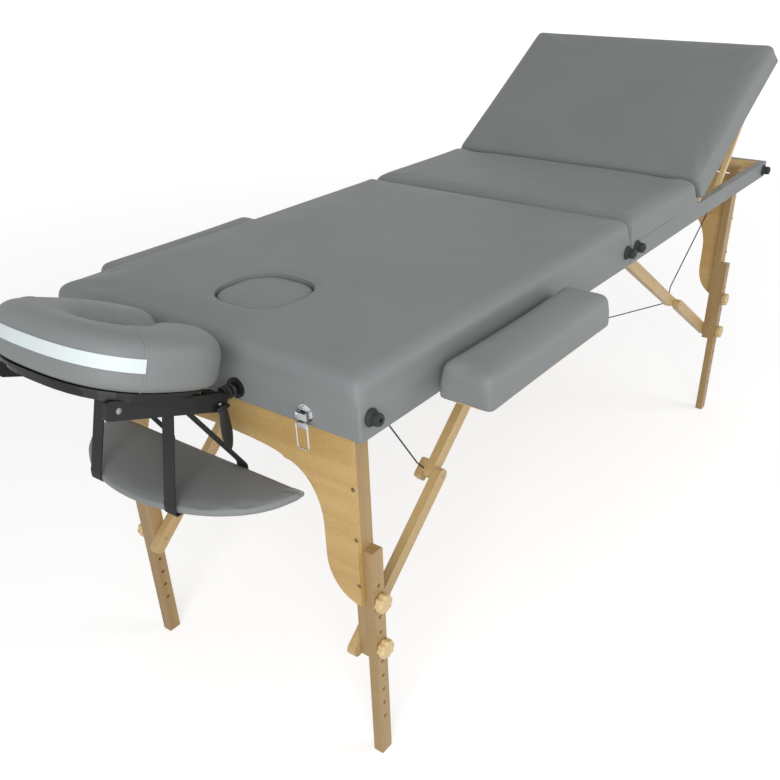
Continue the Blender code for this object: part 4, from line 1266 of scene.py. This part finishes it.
@dataclass
class CableSet:
    """Two crossing cables, each in five runs, fixed where they are laid."""

    radius: float = 0.0015
    eye_side: float = 0.3225
    eye_height: float = 0.7382
    head_eye: float = -0.84
    foot_eye: float = 0.61
    beside: float = 0.2427
    head_elbow: Pair = (-0.61045, 0.49123)
    foot_elbow: Pair = (0.59744, 0.43799)
    guard: float = 0.0448
    crossing: float = 0.45
    spacing: float = 0.004
    middle: float = 0.06
    point_step: float = 0.012

    def past_arm(self, bend: Array, eye: Array) -> Array:
        """Point on the way from an elbow to an eye where the cable is past the arms.

        Args:
            bend: Elbow where the cable bends.
            eye: Eye where it ends.

        Returns:
            The point.
        """
        way = eye - bend
        way[1] = 0.0
        return bend + unit(way) * self.guard

    def route(self, side: int) -> list[tuple[str, str, list[Array], Array, Array]]:
        """Runs of one cable: its two bodies, its points and where the change between them starts and ends.

        Args:
            side: -1 for the cable from the head's right side, 1 for the left.

        Returns:
            One entry for each run, from the head eye to the foot eye.
        """
        head_eye = np.array((self.head_eye, side * self.eye_side, self.eye_height))
        head = np.array((self.head_elbow[0], side * self.beside, self.head_elbow[1]))
        cross = np.array((0.0, 0.0, self.crossing + side * self.spacing / 2))
        foot = np.array((self.foot_elbow[0], -side * self.beside, self.foot_elbow[1]))
        foot_eye = np.array((self.foot_eye, -side * self.eye_side, self.eye_height))
        near = cross + (head - cross) * (self.middle / -head[0])
        far = cross + (foot - cross) * (self.middle / foot[0])
        head_past, foot_past = self.past_arm(head, head_eye), self.past_arm(foot, foot_eye)
        return [("head_half", "head_upper_arms", [head_eye, head_past, head], head_eye, head_past),
                ("head_upper_arms", "head_half", [head, near], head, near),
                ("head_half", "foot_half", [near, cross, far], near, far),
                ("foot_half", "foot_upper_arms", [far, foot], far, foot),
                ("foot_upper_arms", "foot_half", [foot, foot_past, foot_eye], foot_past, foot_eye)]

    def build(self) -> None:
        """Lay both cables and log their lengths."""
        for side, hand in zip(SIDES, HANDS):
            total = 0.0
            for number, (first, second, stops, start, end) in enumerate(self.route(side), 1):
                path = trail(stops, self.point_step)
                length = float(walked(path)[-1])
                piece = make(f"cable_{hand}_run_{number}", tube(path, self.radius), CABLE_COAT, first,
                             [f"cable_head_{hand}"] if number == 1 else [])
                piece.parent = None
                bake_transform(piece)
                total += length
            LOG.info("cable_%s is %.3f m long", hand, total)


SCREW_PROFILE = ((1.5, -0.1), (1.5, 0.16), (1.38, 0.22), (1.0, 0.22), (1.0, 0.32), (0.9, 0.5), (0.62, 0.64),
                 (0.22, 0.7), (0.2, 0.5), (0.05, 0.48))


def screw_head(origin: Point, axis: Point, radius: float) -> Shape:
    """Domed screw head on a washer: a turned profile."""
    return lathe([(radius * r, radius * h) for r, h in SCREW_PROFILE], origin, axis, count=20)


@dataclass
class FaceCradle:
    """Horseshoe cushion with its white tape, and the cradle's small parts."""

    pivot: Pair = (-0.985, 0.762)
    tilt: float = 20.0
    centre: float = -1.103
    aside: float = -0.008
    half: Pair = (0.131, 0.160)
    power: float = 2.7
    hole: Pair = (0.044, 0.043)
    hole_power: float = 2.0
    slot: float = 0.019
    low: float = 0.7919
    thickness: float = 0.080
    section: Pair = (2.9, 5.0)
    puff: float = 0.0035
    hold: float = 0.006
    lobe: float = 0.04
    lobe_least: float = 0.012
    gather: float = 0.0007
    gathers: int = 26
    gather_at: float = 0.62
    gather_width: float = 0.3
    tape_ends: Pair = (109.0, 251.0)
    tape_rise: Pair = (-0.2, 0.27)
    tape_lines: int = 5
    tape_lift: Pair = (0.0002, 0.0016)
    seam_lines: tuple[int, int] = (7, 14)
    seam_lift: float = 0.0004
    seam_radius: float = 0.0007
    arm_out: float = 0.126
    screws: tuple[Pair, ...] = ((0.0, 0.0), (0.185, 0.002))
    screw_radius: float = 0.003
    collar_start: float = -0.9635
    collar_side: float = 0.105
    collar_length: float = 0.027
    collar_ribs: tuple[float, ...] = (0.0088, 0.0118, 0.0122, 0.0104, 0.0104, 0.0122, 0.0122, 0.0104, 0.0104,
                                      0.0122, 0.0118, 0.0092)
    lever_grid: tuple[int, int] = (22, 20)
    lever_wide: float = 1.3
    lever_thick: float = 0.0039
    lever_bow: float = 0.0025
    lever_hub: tuple[Pair, ...] = ((0.0028, 0.0), (0.0038, 0.0008), (0.0039, 0.0222), (0.0028, 0.023))
    lever_hub_start: Pair = (0.0115, 0.0042)

    def rim(self, angle: Array, half: Pair, power: float) -> Array:
        """Point of a superellipse in a direction: radius (|cos/a|^p + |sin/b|^p)^(-1/p).

        Args:
            angle: Directions.
            half: Half sizes a and b.
            power: Power p.

        Returns:
            The points in plan.
        """
        way = np.stack([np.cos(angle), np.sin(angle)], -1)
        size = (np.abs(way / half) ** power).sum(-1, keepdims=True) ** (-1 / power)
        return way * size

    def sides(self, count: int) -> tuple[Array, Array, Array]:
        """Stations round the horseshoe: the angle, the outer rim and the inner rim of each.

        Args:
            count: Number of stations, from one side of the slot round to the other.

        Returns:
            Angles, outer points and inner points in plan, from the cushion's centre.
        """
        starts = []
        for half, power in ((self.half, self.power), (self.hole, self.hole_power)):
            reach = half[0] * (1 - (self.slot / half[1]) ** power) ** (1 / power)
            starts.append(math.atan2(self.slot, reach))
        share = np.linspace(0, 1, count)
        outer, inner = (start + share * (2 * np.pi - 2 * start) for start in starts)
        return outer, self.rim(outer, self.half, self.power), self.rim(inner, self.hole, self.hole_power)

    def surface(self, rows: int = 108, columns: int = 46) -> tuple[Array, Array]:
        """Horseshoe of a rounded section carried from lobe to lobe.

        The section is a superellipse between the inner and the outer rim, squarer below than above. At a
        distance d from the slot, within a lobe of length r, it shrinks as the square root of
        1 - (1 - d / r) squared, which rounds the lobes. Small gathers, a cosine of the angle, fade away
        from the inner rim. The section's first lines are where the tape lies.

        Args:
            rows: Stations round the horseshoe.
            columns: Lines of the section outside the tape, its two edges counted in.

        Returns:
            The points as rows and columns, and each row's angle.
        """
        angle, outer, inner = self.sides(rows)
        above, below = self.section
        low = -math.asin(abs(self.tape_rise[0]) ** (below / 2))
        high = math.asin(self.tape_rise[1] ** (above / 2))
        turn = np.concatenate([np.linspace(low, high, self.tape_lines),
                               np.linspace(high, low + 2 * np.pi, columns)[1:-1]])
        power = 2 / np.where(np.sin(turn) < 0, below, above)
        across = np.sign(np.cos(turn)) * np.abs(np.cos(turn)) ** power
        rise = np.sign(np.sin(turn)) * np.abs(np.sin(turn)) ** power
        middle = (outer + inner) / 2
        along = walked(middle)
        end = np.clip(np.minimum(along, along[-1] - along) / self.lobe, self.lobe_least, 1)
        size = np.sqrt(1 - (1 - end) ** 2)
        plan = middle[:, None] + size[:, None, None] * across[None, :, None] * ((outer - inner) / 2)[:, None]
        fade = np.exp(-((across + self.gather_at) / self.gather_width) ** 2) * (rise > 0)
        gather = self.gather * np.cos(self.gathers * angle)[:, None] * fade
        tall = self.low + self.thickness / 2 * (1 + size[:, None] * rise) - gather
        return np.dstack([plan[..., 0] + self.centre, plan[..., 1] + self.aside, tall]), angle

    def cushion(self) -> None:
        """Build the cushion, its tape and the seams where the tape ends."""
        points, angle = self.surface()
        held = (points[..., 2] < self.low + self.hold).ravel()
        piece = make("face_cushion_cover", rings(points).turned(self.tilt, *self.pivot), VINYL, "cradle",
                     ["face_cushion"], sharp=80)
        COVER.swell(piece, held, cap=self.puff)
        place = (places(piece.data) - (FOLD, 0, 0)).reshape(points.shape)
        normal = places(piece.data, "normal").reshape(points.shape)
        subdivide(piece)
        start, end = np.radians(self.tape_ends)
        inside = (angle > start) & (angle < end)
        self.tape(place[inside][:, :self.tape_lines], normal[inside][:, :self.tape_lines])
        below, above = self.seam_lines
        seam = np.r_[points.shape[1] - below:points.shape[1], 0:above]
        stitch = [tube(place[row, seam] + self.seam_lift * normal[row, seam], self.seam_radius, count=6)
                  for row in np.flatnonzero(inside)[[0, -1]]]
        make("cushion_side_seams", merged(stitch), SEAM_VINYL, "cradle")

    def tape(self, place: Array, normal: Array) -> None:
        """Lay the white tape on the cushion's outside: its own grid lifted along the normals, and closed.

        Args:
            place: Cushion's points under the tape.
            normal: Their normals.
        """
        inner, outer = (place + lift * normal for lift in self.tape_lift)
        ring = np.concatenate([outer, inner[:, ::-1]], axis=1)
        piece = make("cushion_white_tape", rings(ring), WHITE_TAPE, "cradle", sharp=50)
        wide = walked(place[5])
        map_tape(piece, walked(place[:, 2]), np.concatenate([wide, wide[::-1]]))

    def small_parts(self) -> None:
        """Screws on the cradle's arms and ribbed collars on its rods."""
        screws = [screw_head((self.pivot[0] - reach, side * self.arm_out, self.pivot[1] + drop), (0, side, 0),
                             self.screw_radius) for side in SIDES for reach, drop in self.screws]
        make("cradle_screws", merged(screws).turned(self.tilt, *self.pivot), STEEL, "cradle")
        along = np.linspace(0.0, self.collar_length, len(self.collar_ribs)).tolist()
        profile = list(zip(self.collar_ribs, along))
        collars = [lathe(profile, (self.collar_start, side * self.collar_side, self.pivot[1]), (1, 0, 0))
                   for side in SIDES]
        make("rod_collars", merged(collars), BLACK_PLASTIC, "headrest")

    def lever(self) -> None:
        """Cam lever: an ellipse carried down a bowed line, its width swelling like a leaf."""
        low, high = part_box("cam_lever")
        middle = (low + high) / 2
        rows, columns = self.lever_grid
        share = np.linspace(0.02, 1, rows)
        width = self.lever_wide * (high.x - low.x) / 2
        width = width * (0.62 + 0.42 * np.sin(np.pi * share ** 1.3) - 0.34 * share ** 6)
        width *= np.sqrt(1 - np.clip(share - 0.9, 0, 0.1) ** 2 * 92)
        thick = self.lever_thick * (0.72 + 0.28 * np.cos(np.pi * share))
        thick = thick * np.sqrt(1 - np.clip(share - 0.92, 0, 0.08) ** 2 * 140) * np.clip(share / 0.06, 0.4, 1)
        turn = turns(columns)
        centre = np.column_stack([np.full(rows, middle.x - FOLD), middle.y - self.lever_bow * share ** 2,
                                  high.z - share * (high.z - low.z)])
        ring = np.stack([width[:, None] * np.cos(turn), thick[:, None] * np.sin(turn),
                         np.zeros(self.lever_grid)], -1)
        back, drop = self.lever_hub_start
        start = (middle.x - FOLD - back, middle.y, high.z - drop)
        shape = rings(centre[:, None] + ring) + lathe(self.lever_hub, start, (1, 0, 0), columns)
        make("cam_lever_grip", shape, BLACK_PLASTIC, "cam_lever", ["cam_lever"], sharp=60)

    def build(self) -> None:
        """Build the cushion, the small parts and the lever."""
        self.cushion()
        self.small_parts()
        self.lever()


@dataclass
class ArmShelf:
    """Padded half-moon shelf on two woven straps."""

    back: float = -0.930
    front: float = -1.096
    half_width: float = 0.232
    top: float = 0.6158
    bottom: float = 0.603
    bar: Pair = (-1.03805, 0.77705)
    bar_radius: float = 0.0043
    strap_y: float = 0.0785
    strap_spread: float = 0.012
    strap_width: float = 0.025
    strap_thickness: float = 0.0022
    strap_tuck: float = 0.030
    strap_points: int = 70

    def board(self) -> None:
        """Padded board: a half moon with rolled edges."""
        rows = round_over(0.005, self.top, 0.0, 5)
        rows += [(0.0, 0.609, 0.0), (0.0012, 0.6046, 0.0), (0.004, self.bottom, 0.0)]
        centre, half = (self.back + self.front) / 2, (self.back - self.front) / 2
        form = PadForm((centre, 0.0), (half, self.half_width), rows, spacing=0.0075, crown=0.002,
                       plan=Plan.HALF_MOON)
        pad("arm_shelf_cover", form, "arm_shelf", "arm_shelf", hold=0.6085, cap=0.0025, sharp=60)

    def strap_path(self) -> Array:
        """Middle line of a strap: up from the back of the shelf, over the bar and down to the front.

        Returns:
            The line's points, with Y from the strap's own middle.
        """
        wrap = self.bar_radius + self.strap_thickness / 2
        turn = np.linspace(0, np.pi, 13)
        over = np.column_stack([self.bar[0] + wrap * np.cos(turn), self.bar[1] + wrap * np.sin(turn)])
        lie, under = self.top + 0.0032, self.bottom - self.strap_thickness / 2 - 0.0003
        back, edge = self.back, self.edge_at(self.strap_y + self.strap_spread) - 0.0018
        rear = [(back - self.strap_tuck, under), (back + 0.0005, under), (back + 0.0022, under + 0.003),
                (back + 0.0018, lie - 0.002), (back - 0.0012, lie + 0.004)]
        front = [(edge + 0.0022, lie + 0.004), (edge, lie - 0.002), (edge - 0.0004, under + 0.003),
                 (edge + 0.0016, under), (edge + self.strap_tuck, under)]
        line = np.vstack([rear, over, front])
        along = walked(line)
        even = np.unique(np.concatenate([along, np.linspace(0, along[-1], self.strap_points)]))
        height = np.interp(even, along, line[:, 1])
        spread = self.strap_spread * np.clip((self.bar[1] - height) / (self.bar[1] - lie), 0, 1)
        return np.column_stack([np.interp(even, along, line[:, 0]), spread, height])

    def edge_at(self, y: float) -> float:
        """X of the shelf's round front edge at a distance from the middle."""
        return self.back - (self.back - self.front) * math.sqrt(1 - (y / self.half_width) ** 2)

    def straps(self) -> None:
        """Lay both straps and map their weave."""
        line = self.strap_path()
        for side, hand in zip(SIDES, HANDS):
            path = line * (1, side, 1) + (0.0, side * self.strap_y, 0.0)
            shape = ribbon(path, (0, 1, 0), self.strap_width, self.strap_thickness)
            piece = make(f"shelf_strap_{hand}", shape, STRAP_TAPE, "arm_shelf", sharp=50)
            map_tape(piece, walked(line), np.array([-0.5, 0.5, 0.5, -0.5]) * self.strap_width)

    def build(self) -> None:
        """Build the board and the straps."""
        self.board()
        self.straps()


@dataclass
class Armrests:
    """Two padded armrests, their covers drawn down round the boards."""

    middle: float = -0.545
    half_length: float = 0.2098
    side: float = 0.417
    half_width: float = 0.0508
    top: float = 0.8062
    edge: float = 0.021
    corner: float = 0.024
    pad_bottom: float = 0.7574
    low: float = 0.7444

    def build(self) -> None:
        """Build both covers."""
        low = self.low
        hem = [(0.0, 0.7735, 0.017), (0.0, 0.757, 0.015), (0.0002, low + 0.003, 0.014),
               (0.0018, low - 0.0006, 0.013), (0.009, low - 0.0012, 0.01), (0.009, low - 0.0005, 0.01),
               (0.002, low - 0.0003, 0.013), (0.0012, low + 0.003, 0.014), (0.0012, self.pad_bottom, 0.014)]
        rows = round_over(self.edge, self.top, self.corner) + hem
        for side, hand in zip(SIDES, HANDS):
            form = PadForm((self.middle, side * self.side), (self.half_length, self.half_width), rows,
                           spacing=0.0085, crown=0.0025, pull=0.002)
            pad(f"armrest_cover_{hand}", form, f"armrest_{hand}", f"armrest_pad_{hand}", hold=0.763,
                cap=0.0035, sharp=60)


@dataclass
class LegHardware:
    """Knobs, screws, elbow blocks and cable eyes of one leg set."""

    end: str
    sign: int
    elbow: Pair
    slope: float
    wood: WoodFinish
    arm_inner: float = 0.2442
    arm_outer: float = 0.2798
    panel_face: float = 0.8883
    screw_side: float = 0.297
    screw_heights: tuple[float, ...] = (0.617, 0.517, 0.42)
    screw_radius: float = 0.0026
    lobes: int = 8
    lobe_depth: float = 0.075
    lobed_beyond: float = 0.6
    knob_rows: tuple[Pair, ...] = (
        (0.50, 0.0), (0.84, 0.0), (0.95, 0.08), (1.0, 0.22), (1.0, 0.72), (0.96, 0.88), (0.86, 0.97),
        (0.55, 1.0), (0.46, 0.985), (0.2, 0.985))
    block_half: Pair = (0.0225, 0.0125)
    block_drop: float = 0.004
    block_height: float = 0.017
    block_edge: float = 0.005
    block_corner: float = 0.009
    pin: tuple[Pair, ...] = ((0.0031, -0.002), (0.0031, 0.0002), (0.0024, 0.00025), (0.002, -0.0004),
                             (0.0005, -0.0004))
    crimp: tuple[Pair, ...] = ((0.0016, 0.0), (0.0027, 0.0006), (0.0031, 0.002), (0.0031, 0.011),
                               (0.0027, 0.0124), (0.0016, 0.013))
    crimp_start: float = 0.006
    hoop_radius: float = 0.005
    hoop_wire: float = 0.0013
    shank: tuple[Pair, ...] = ((0.0016, 0.0), (0.0016, 0.034), (0.0045, 0.0345), (0.0045, 0.0368))

    def knob(self, node: str) -> None:
        """Lobed hand knob: radius R(1 - d + d cos(n a)) over rows that round both faces.

        Args:
            node: CAD node that the knob stands for.
        """
        low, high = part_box(node)
        centre = (low + high) / 2
        outward = 1 if centre.y > 0 else -1
        radius, deep = (high.x - low.x) / 2, high.y - low.y
        rows = np.array(self.knob_rows)
        turn = turns(64)
        size = radius * (1 - self.lobe_depth + self.lobe_depth * np.cos(self.lobes * turn))
        plain = radius * (1 - self.lobe_depth)
        spread = rows[:, :1] * np.where(rows[:, :1] > self.lobed_beyond, size[None], plain)
        depth = np.broadcast_to((centre.y + outward * deep * (rows[:, 1] - 0.5))[:, None], spread.shape)
        across, up = spread * np.cos(turn), spread * np.sin(turn)
        points = np.stack([centre.x - FOLD + across, depth, centre.z + up], -1)
        make(f"{node}_grip", rings(points), KNOB_WOOD, node, [node], sharp=35)

    def panel_screws(self) -> None:
        """Rows of domed screws that hold the panel to its legs."""
        heads = [screw_head((self.sign * self.panel_face, side * self.screw_side, z), (self.sign, 0, 0),
                            self.screw_radius) for side in SIDES for z in self.screw_heights]
        make(f"{self.end}_panel_screws", merged(heads), DULL_STEEL, f"{self.end}_legs")

    def elbows(self) -> None:
        """Wooden stop block inside each elbow, with the pivot's flush end outside the lower arm."""
        x, z = self.elbow
        turn = Matrix.Rotation(math.radians(-self.sign * self.slope), 4, "Y")
        corner = self.block_corner
        rows = round_over(self.block_edge, self.block_height, corner, 4)
        rows += [(0.0, 0.004, corner), (0.0, 0.0, corner)]
        block = PadForm((0.0, self.block_drop), self.block_half, rows, spacing=0.003, crown=0.0006).shape()
        blocks, pins = [], []
        for side in SIDES:
            upright = Matrix(((1, 0, 0, 0), (0, 0, -side, side * self.arm_inner), (0, 1, 0, 0), (0, 0, 0, 1)))
            blocks.append(block.placed(Matrix.Translation((x, 0, z)) @ turn.inverted() @ upright))
            pins.append(lathe(self.pin, (x, side * self.arm_outer, z), (0, side, 0), count=20))
        make(f"{self.end}_elbow_blocks", merged(blocks), self.wood, f"{self.end}_upper_arms")
        make(f"{self.end}_elbow_pins", merged(pins), BLACK_STEEL, f"{self.end}_lower_arms")

    def cable_ends(self, cables: CableSet) -> None:
        """Screw eyes under the deck, each with the cable's crimped sleeve.

        Args:
            cables: Cables that end at the eyes.
        """
        eyes = []
        turn = turns(24)[:, None]
        for side in SIDES:
            runs = cables.route(side if self.sign < 0 else -side)
            stops = runs[0][2] if self.sign < 0 else runs[-1][2][::-1]
            eye, past = stops[:2]
            way = unit((past - eye) * (1, 1, 0))
            hoop = eye + self.hoop_radius * (np.cos(turn) * way + np.sin(turn) * np.array((0, 0, 1.0)))
            sleeve = tuple(eye + self.crimp_start * unit(past - eye))
            eyes += [lathe(self.crimp, sleeve, tuple(past - eye), count=16),
                     tube(hoop, self.hoop_wire, count=8, loop=True),
                     lathe(self.shank, tuple(eye + (0, 0, self.hoop_radius)), (0, 0, 1), count=14)]
        make(f"{self.end}_cable_eyes", merged(eyes), STEEL, f"{self.end}_half")

    def build(self, cables: CableSet) -> None:
        """Build the set's hardware.

        Args:
            cables: Cables that end at the set's eyes.
        """
        for hand in HANDS:
            for level in ("upper", "lower"):
                self.knob(f"{self.end}_{hand}_{level}_knob")
        self.panel_screws()
        self.elbows()
        self.cable_ends(cables)


@dataclass
class Bumpers:
    """Stepped rubber bumpers on the right side."""

    face: float = -0.3552
    profile: tuple[Pair, ...] = (
        (0.0138, 0.0), (0.0147, 0.0012), (0.0145, 0.003), (0.0134, 0.0044), (0.0112, 0.006), (0.0108, 0.0072),
        (0.0108, 0.0094), (0.0101, 0.0098), (0.0101, 0.0112), (0.0106, 0.0116), (0.0104, 0.0162),
        (0.0093, 0.0190), (0.0076, 0.0199), (0.0044, 0.0199), (0.0037, 0.0192), (0.0035, 0.0150),
        (0.0006, 0.0148))

    def build(self) -> None:
        """Turn the four bumpers where their nodes are."""
        for end in ENDS:
            for node in (f"{end}_bumper_outer", f"{end}_bumper_fold"):
                low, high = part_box(node)
                origin = ((low.x + high.x) / 2 - FOLD, self.face, (low.z + high.z) / 2)
                shape = lathe(self.profile, origin, (0, -1, 0), count=36)
                make(f"{node}_foot", shape, RUBBER, f"{end}_half", [node])


@dataclass
class Studio:
    """Camera, lights and floor. A lamp is a name, a place, an aim, a size and a power."""

    place: Point = (-1.7673, -1.0679, 1.3792)
    azimuth: float = -54.04
    elevation: float = 32.64
    roll: float = -0.95
    lens: float = 40.452
    sensor: float = 36.0
    shift: Pair = (-0.03946, 0.11558)
    lamps: tuple[tuple[str, Point, Point, float, float], ...] = (
        ("overhead_lamp", (-0.3, -0.4, 3.4), (-0.1, 0.0, 0.6), 3.2, 4.0),
        ("front_lamp", (-3.4, -2.1, 1.9), (-0.2, 0.0, 0.6), 2.4, 108.0),
        ("side_lamp", (1.8, -3.2, 1.6), (0.0, 0.0, 0.5), 2.2, 46.0))
    ambient: float = 0.43
    floor_reach: float = 40.0
    floor_lines: int = 9
    floor_colour: Colour = (205, 205, 205)
    floor_glow: Pair = (0.55, 0.8)
    glow_reach: Pair = (1.6, 6.0)

    def camera(self) -> None:
        """Stand the camera where the photograph was taken from."""
        a, e, r = (math.radians(value) for value in (self.azimuth, self.elevation, self.roll))
        back = Vector((math.sin(a) * math.cos(e), -math.cos(a) * math.cos(e), math.sin(e)))
        right = Vector((0, 0, 1)).cross(back).normalized()
        up = back.cross(right)
        right, up = math.cos(r) * right + math.sin(r) * up, math.cos(r) * up - math.sin(r) * right
        data = bpy.data.cameras.new("camera")
        data.sensor_width = self.sensor
        data.lens = self.lens
        data.shift_x, data.shift_y = self.shift
        data.dof.use_dof = False
        camera = stand("camera", data)
        turn = Matrix((right, up, back)).transposed().to_4x4()
        camera.matrix_world = Matrix.Translation(on_frame(self.place)) @ turn
        bpy.context.scene.camera = camera

    def seen(self, wiring: Wiring, plain: float, shown: float) -> Socket:
        """Strength that is one value for light on the table and another where the stage itself is seen.

        Args:
            wiring: Tree that the strength is for.
            plain: Strength that lights the table.
            shown: Strength in the camera's view, in reflections and through glass.

        Returns:
            The socket with the strength.
        """
        path = wiring.add("ShaderNodeLightPath").outputs
        direct = wiring.combine("MAXIMUM", path["Is Camera Ray"], path["Is Glossy Ray"])
        return wiring.span(wiring.combine("MAXIMUM", direct, path["Is Transmission Ray"]), plain, shown)

    def lamp(self, name: str, place: Point, aim: Point, size: float, power: float) -> None:
        """Hang a soft square lamp that faces a point.

        Args:
            name: Lamp name.
            place: Where it hangs.
            aim: Point that it faces.
            size: Side of the square.
            power: Power in watts.
        """
        data = bpy.data.lights.new(name, "AREA")
        data.size = size
        data.energy = power
        lamp = stand(name, data)
        lamp.location = on_frame(place)
        lamp.rotation_euler = (Vector(aim) - Vector(place)).to_track_quat("-Z", "Y").to_euler()

    def floor(self) -> None:
        """Lay a plain pale floor, a flat grid that reaches past the view."""
        count = self.floor_lines
        line = np.linspace(-self.floor_reach, self.floor_reach, count)
        points = np.stack([*np.meshgrid(line, line), np.zeros((count, count))], -1)
        quads = cells(np.arange(count ** 2).reshape(count, count))
        mesh = bpy.data.meshes.new("floor")
        mesh.from_pydata(points.reshape(-1, 3).tolist(), [], quads.tolist())
        coat = Coat("pale_floor")
        away = coat.add("ShaderNodeVectorMath", {"operation": "LENGTH"}, Vector=coat.place).outputs["Value"]
        fade = coat.span(away, *self.floor_glow, *self.glow_reach)
        coat.feed(coat.shader, Base_Color=linear(*self.floor_colour), Roughness=0.9, Specular_IOR_Level=0.1,
                  Emission_Color=(1.0, 1.0, 1.0, 1.0),
                  Emission_Strength=coat.combine("MULTIPLY", self.seen(coat, 0.0, 1.0), fade))
        mesh.materials.append(coat.material)
        stand("floor", mesh)

    def build(self) -> None:
        """Set up the view, the lamps and the floor."""
        scene = bpy.context.scene
        scene.view_settings.view_transform = "Standard"
        self.camera()
        for lamp in self.lamps:
            self.lamp(*lamp)
        scene.world = bpy.data.worlds.new("studio")
        scene.world.use_nodes = True
        wiring = Wiring(scene.world.node_tree)
        wiring.feed(wiring.tree.nodes["Background"], Color=(1.0, 1.0, 1.0, 1.0),
                    Strength=self.seen(wiring, self.ambient, 1.0))
        self.floor()


def dress_frame() -> None:
    """Give every CAD node that stays in view its finish."""
    arms = [f"{arm}_arm_{hand}" for arm in ("upper", "lower") for hand in HANDS]
    finishes: dict[Finish, Sequence[str]] = {
        RAIL_WOOD: ("head_frame", "foot_frame", "armrest_board_right", "armrest_board_left"),
        PROP_WOOD: ("backrest_prop",),
        PANEL_WOOD: ("head_leg_panel", "foot_leg_panel"),
        LEG_WOOD: [f"{end}_{hand}_{part}" for end in ENDS for hand in HANDS for part in ("leg", "extension")],
        HEAD_ARM_WOOD: [f"head_{arm}" for arm in arms],
        FOOT_ARM_WOOD: [f"foot_{arm}" for arm in arms],
        PLYWOOD: ("head_deck", "foot_deck", "backrest_board"),
        BLACK_PLASTIC: ("rod_sockets", "cradle_frame", "cushion_board"),
        BLACK_STEEL: ("cradle_rods",),
        STEEL: ("head_hinge_leaf", "foot_hinge_leaf", "centre_hinge_pin", "backrest_hinge"),
        CHROME: ("latch_plate", "latch_lever", "latch_bail"),
    }
    for finish, nodes in finishes.items():
        for node in nodes:
            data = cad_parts[node].data
            data.materials.clear()
            data.materials.append(material_of(finish))


def main() -> None:
    """Build the studio and every sub-assembly."""
    logging.basicConfig(level=logging.INFO, format="%(name)s: %(message)s")
    Studio().build()
    cables = CableSet()
    cables.build()
    dress_frame()
    Top().build()
    FaceCradle().build()
    ArmShelf().build()
    Armrests().build()
    LegHardware("head", -1, cables.head_elbow, HEAD_SLOPE, HEAD_ARM_WOOD).build(cables)
    LegHardware("foot", 1, cables.foot_elbow, FOOT_SLOPE, FOOT_ARM_WOOD).build(cables)
    Bumpers().build()


if __name__ == "__main__":
    main()
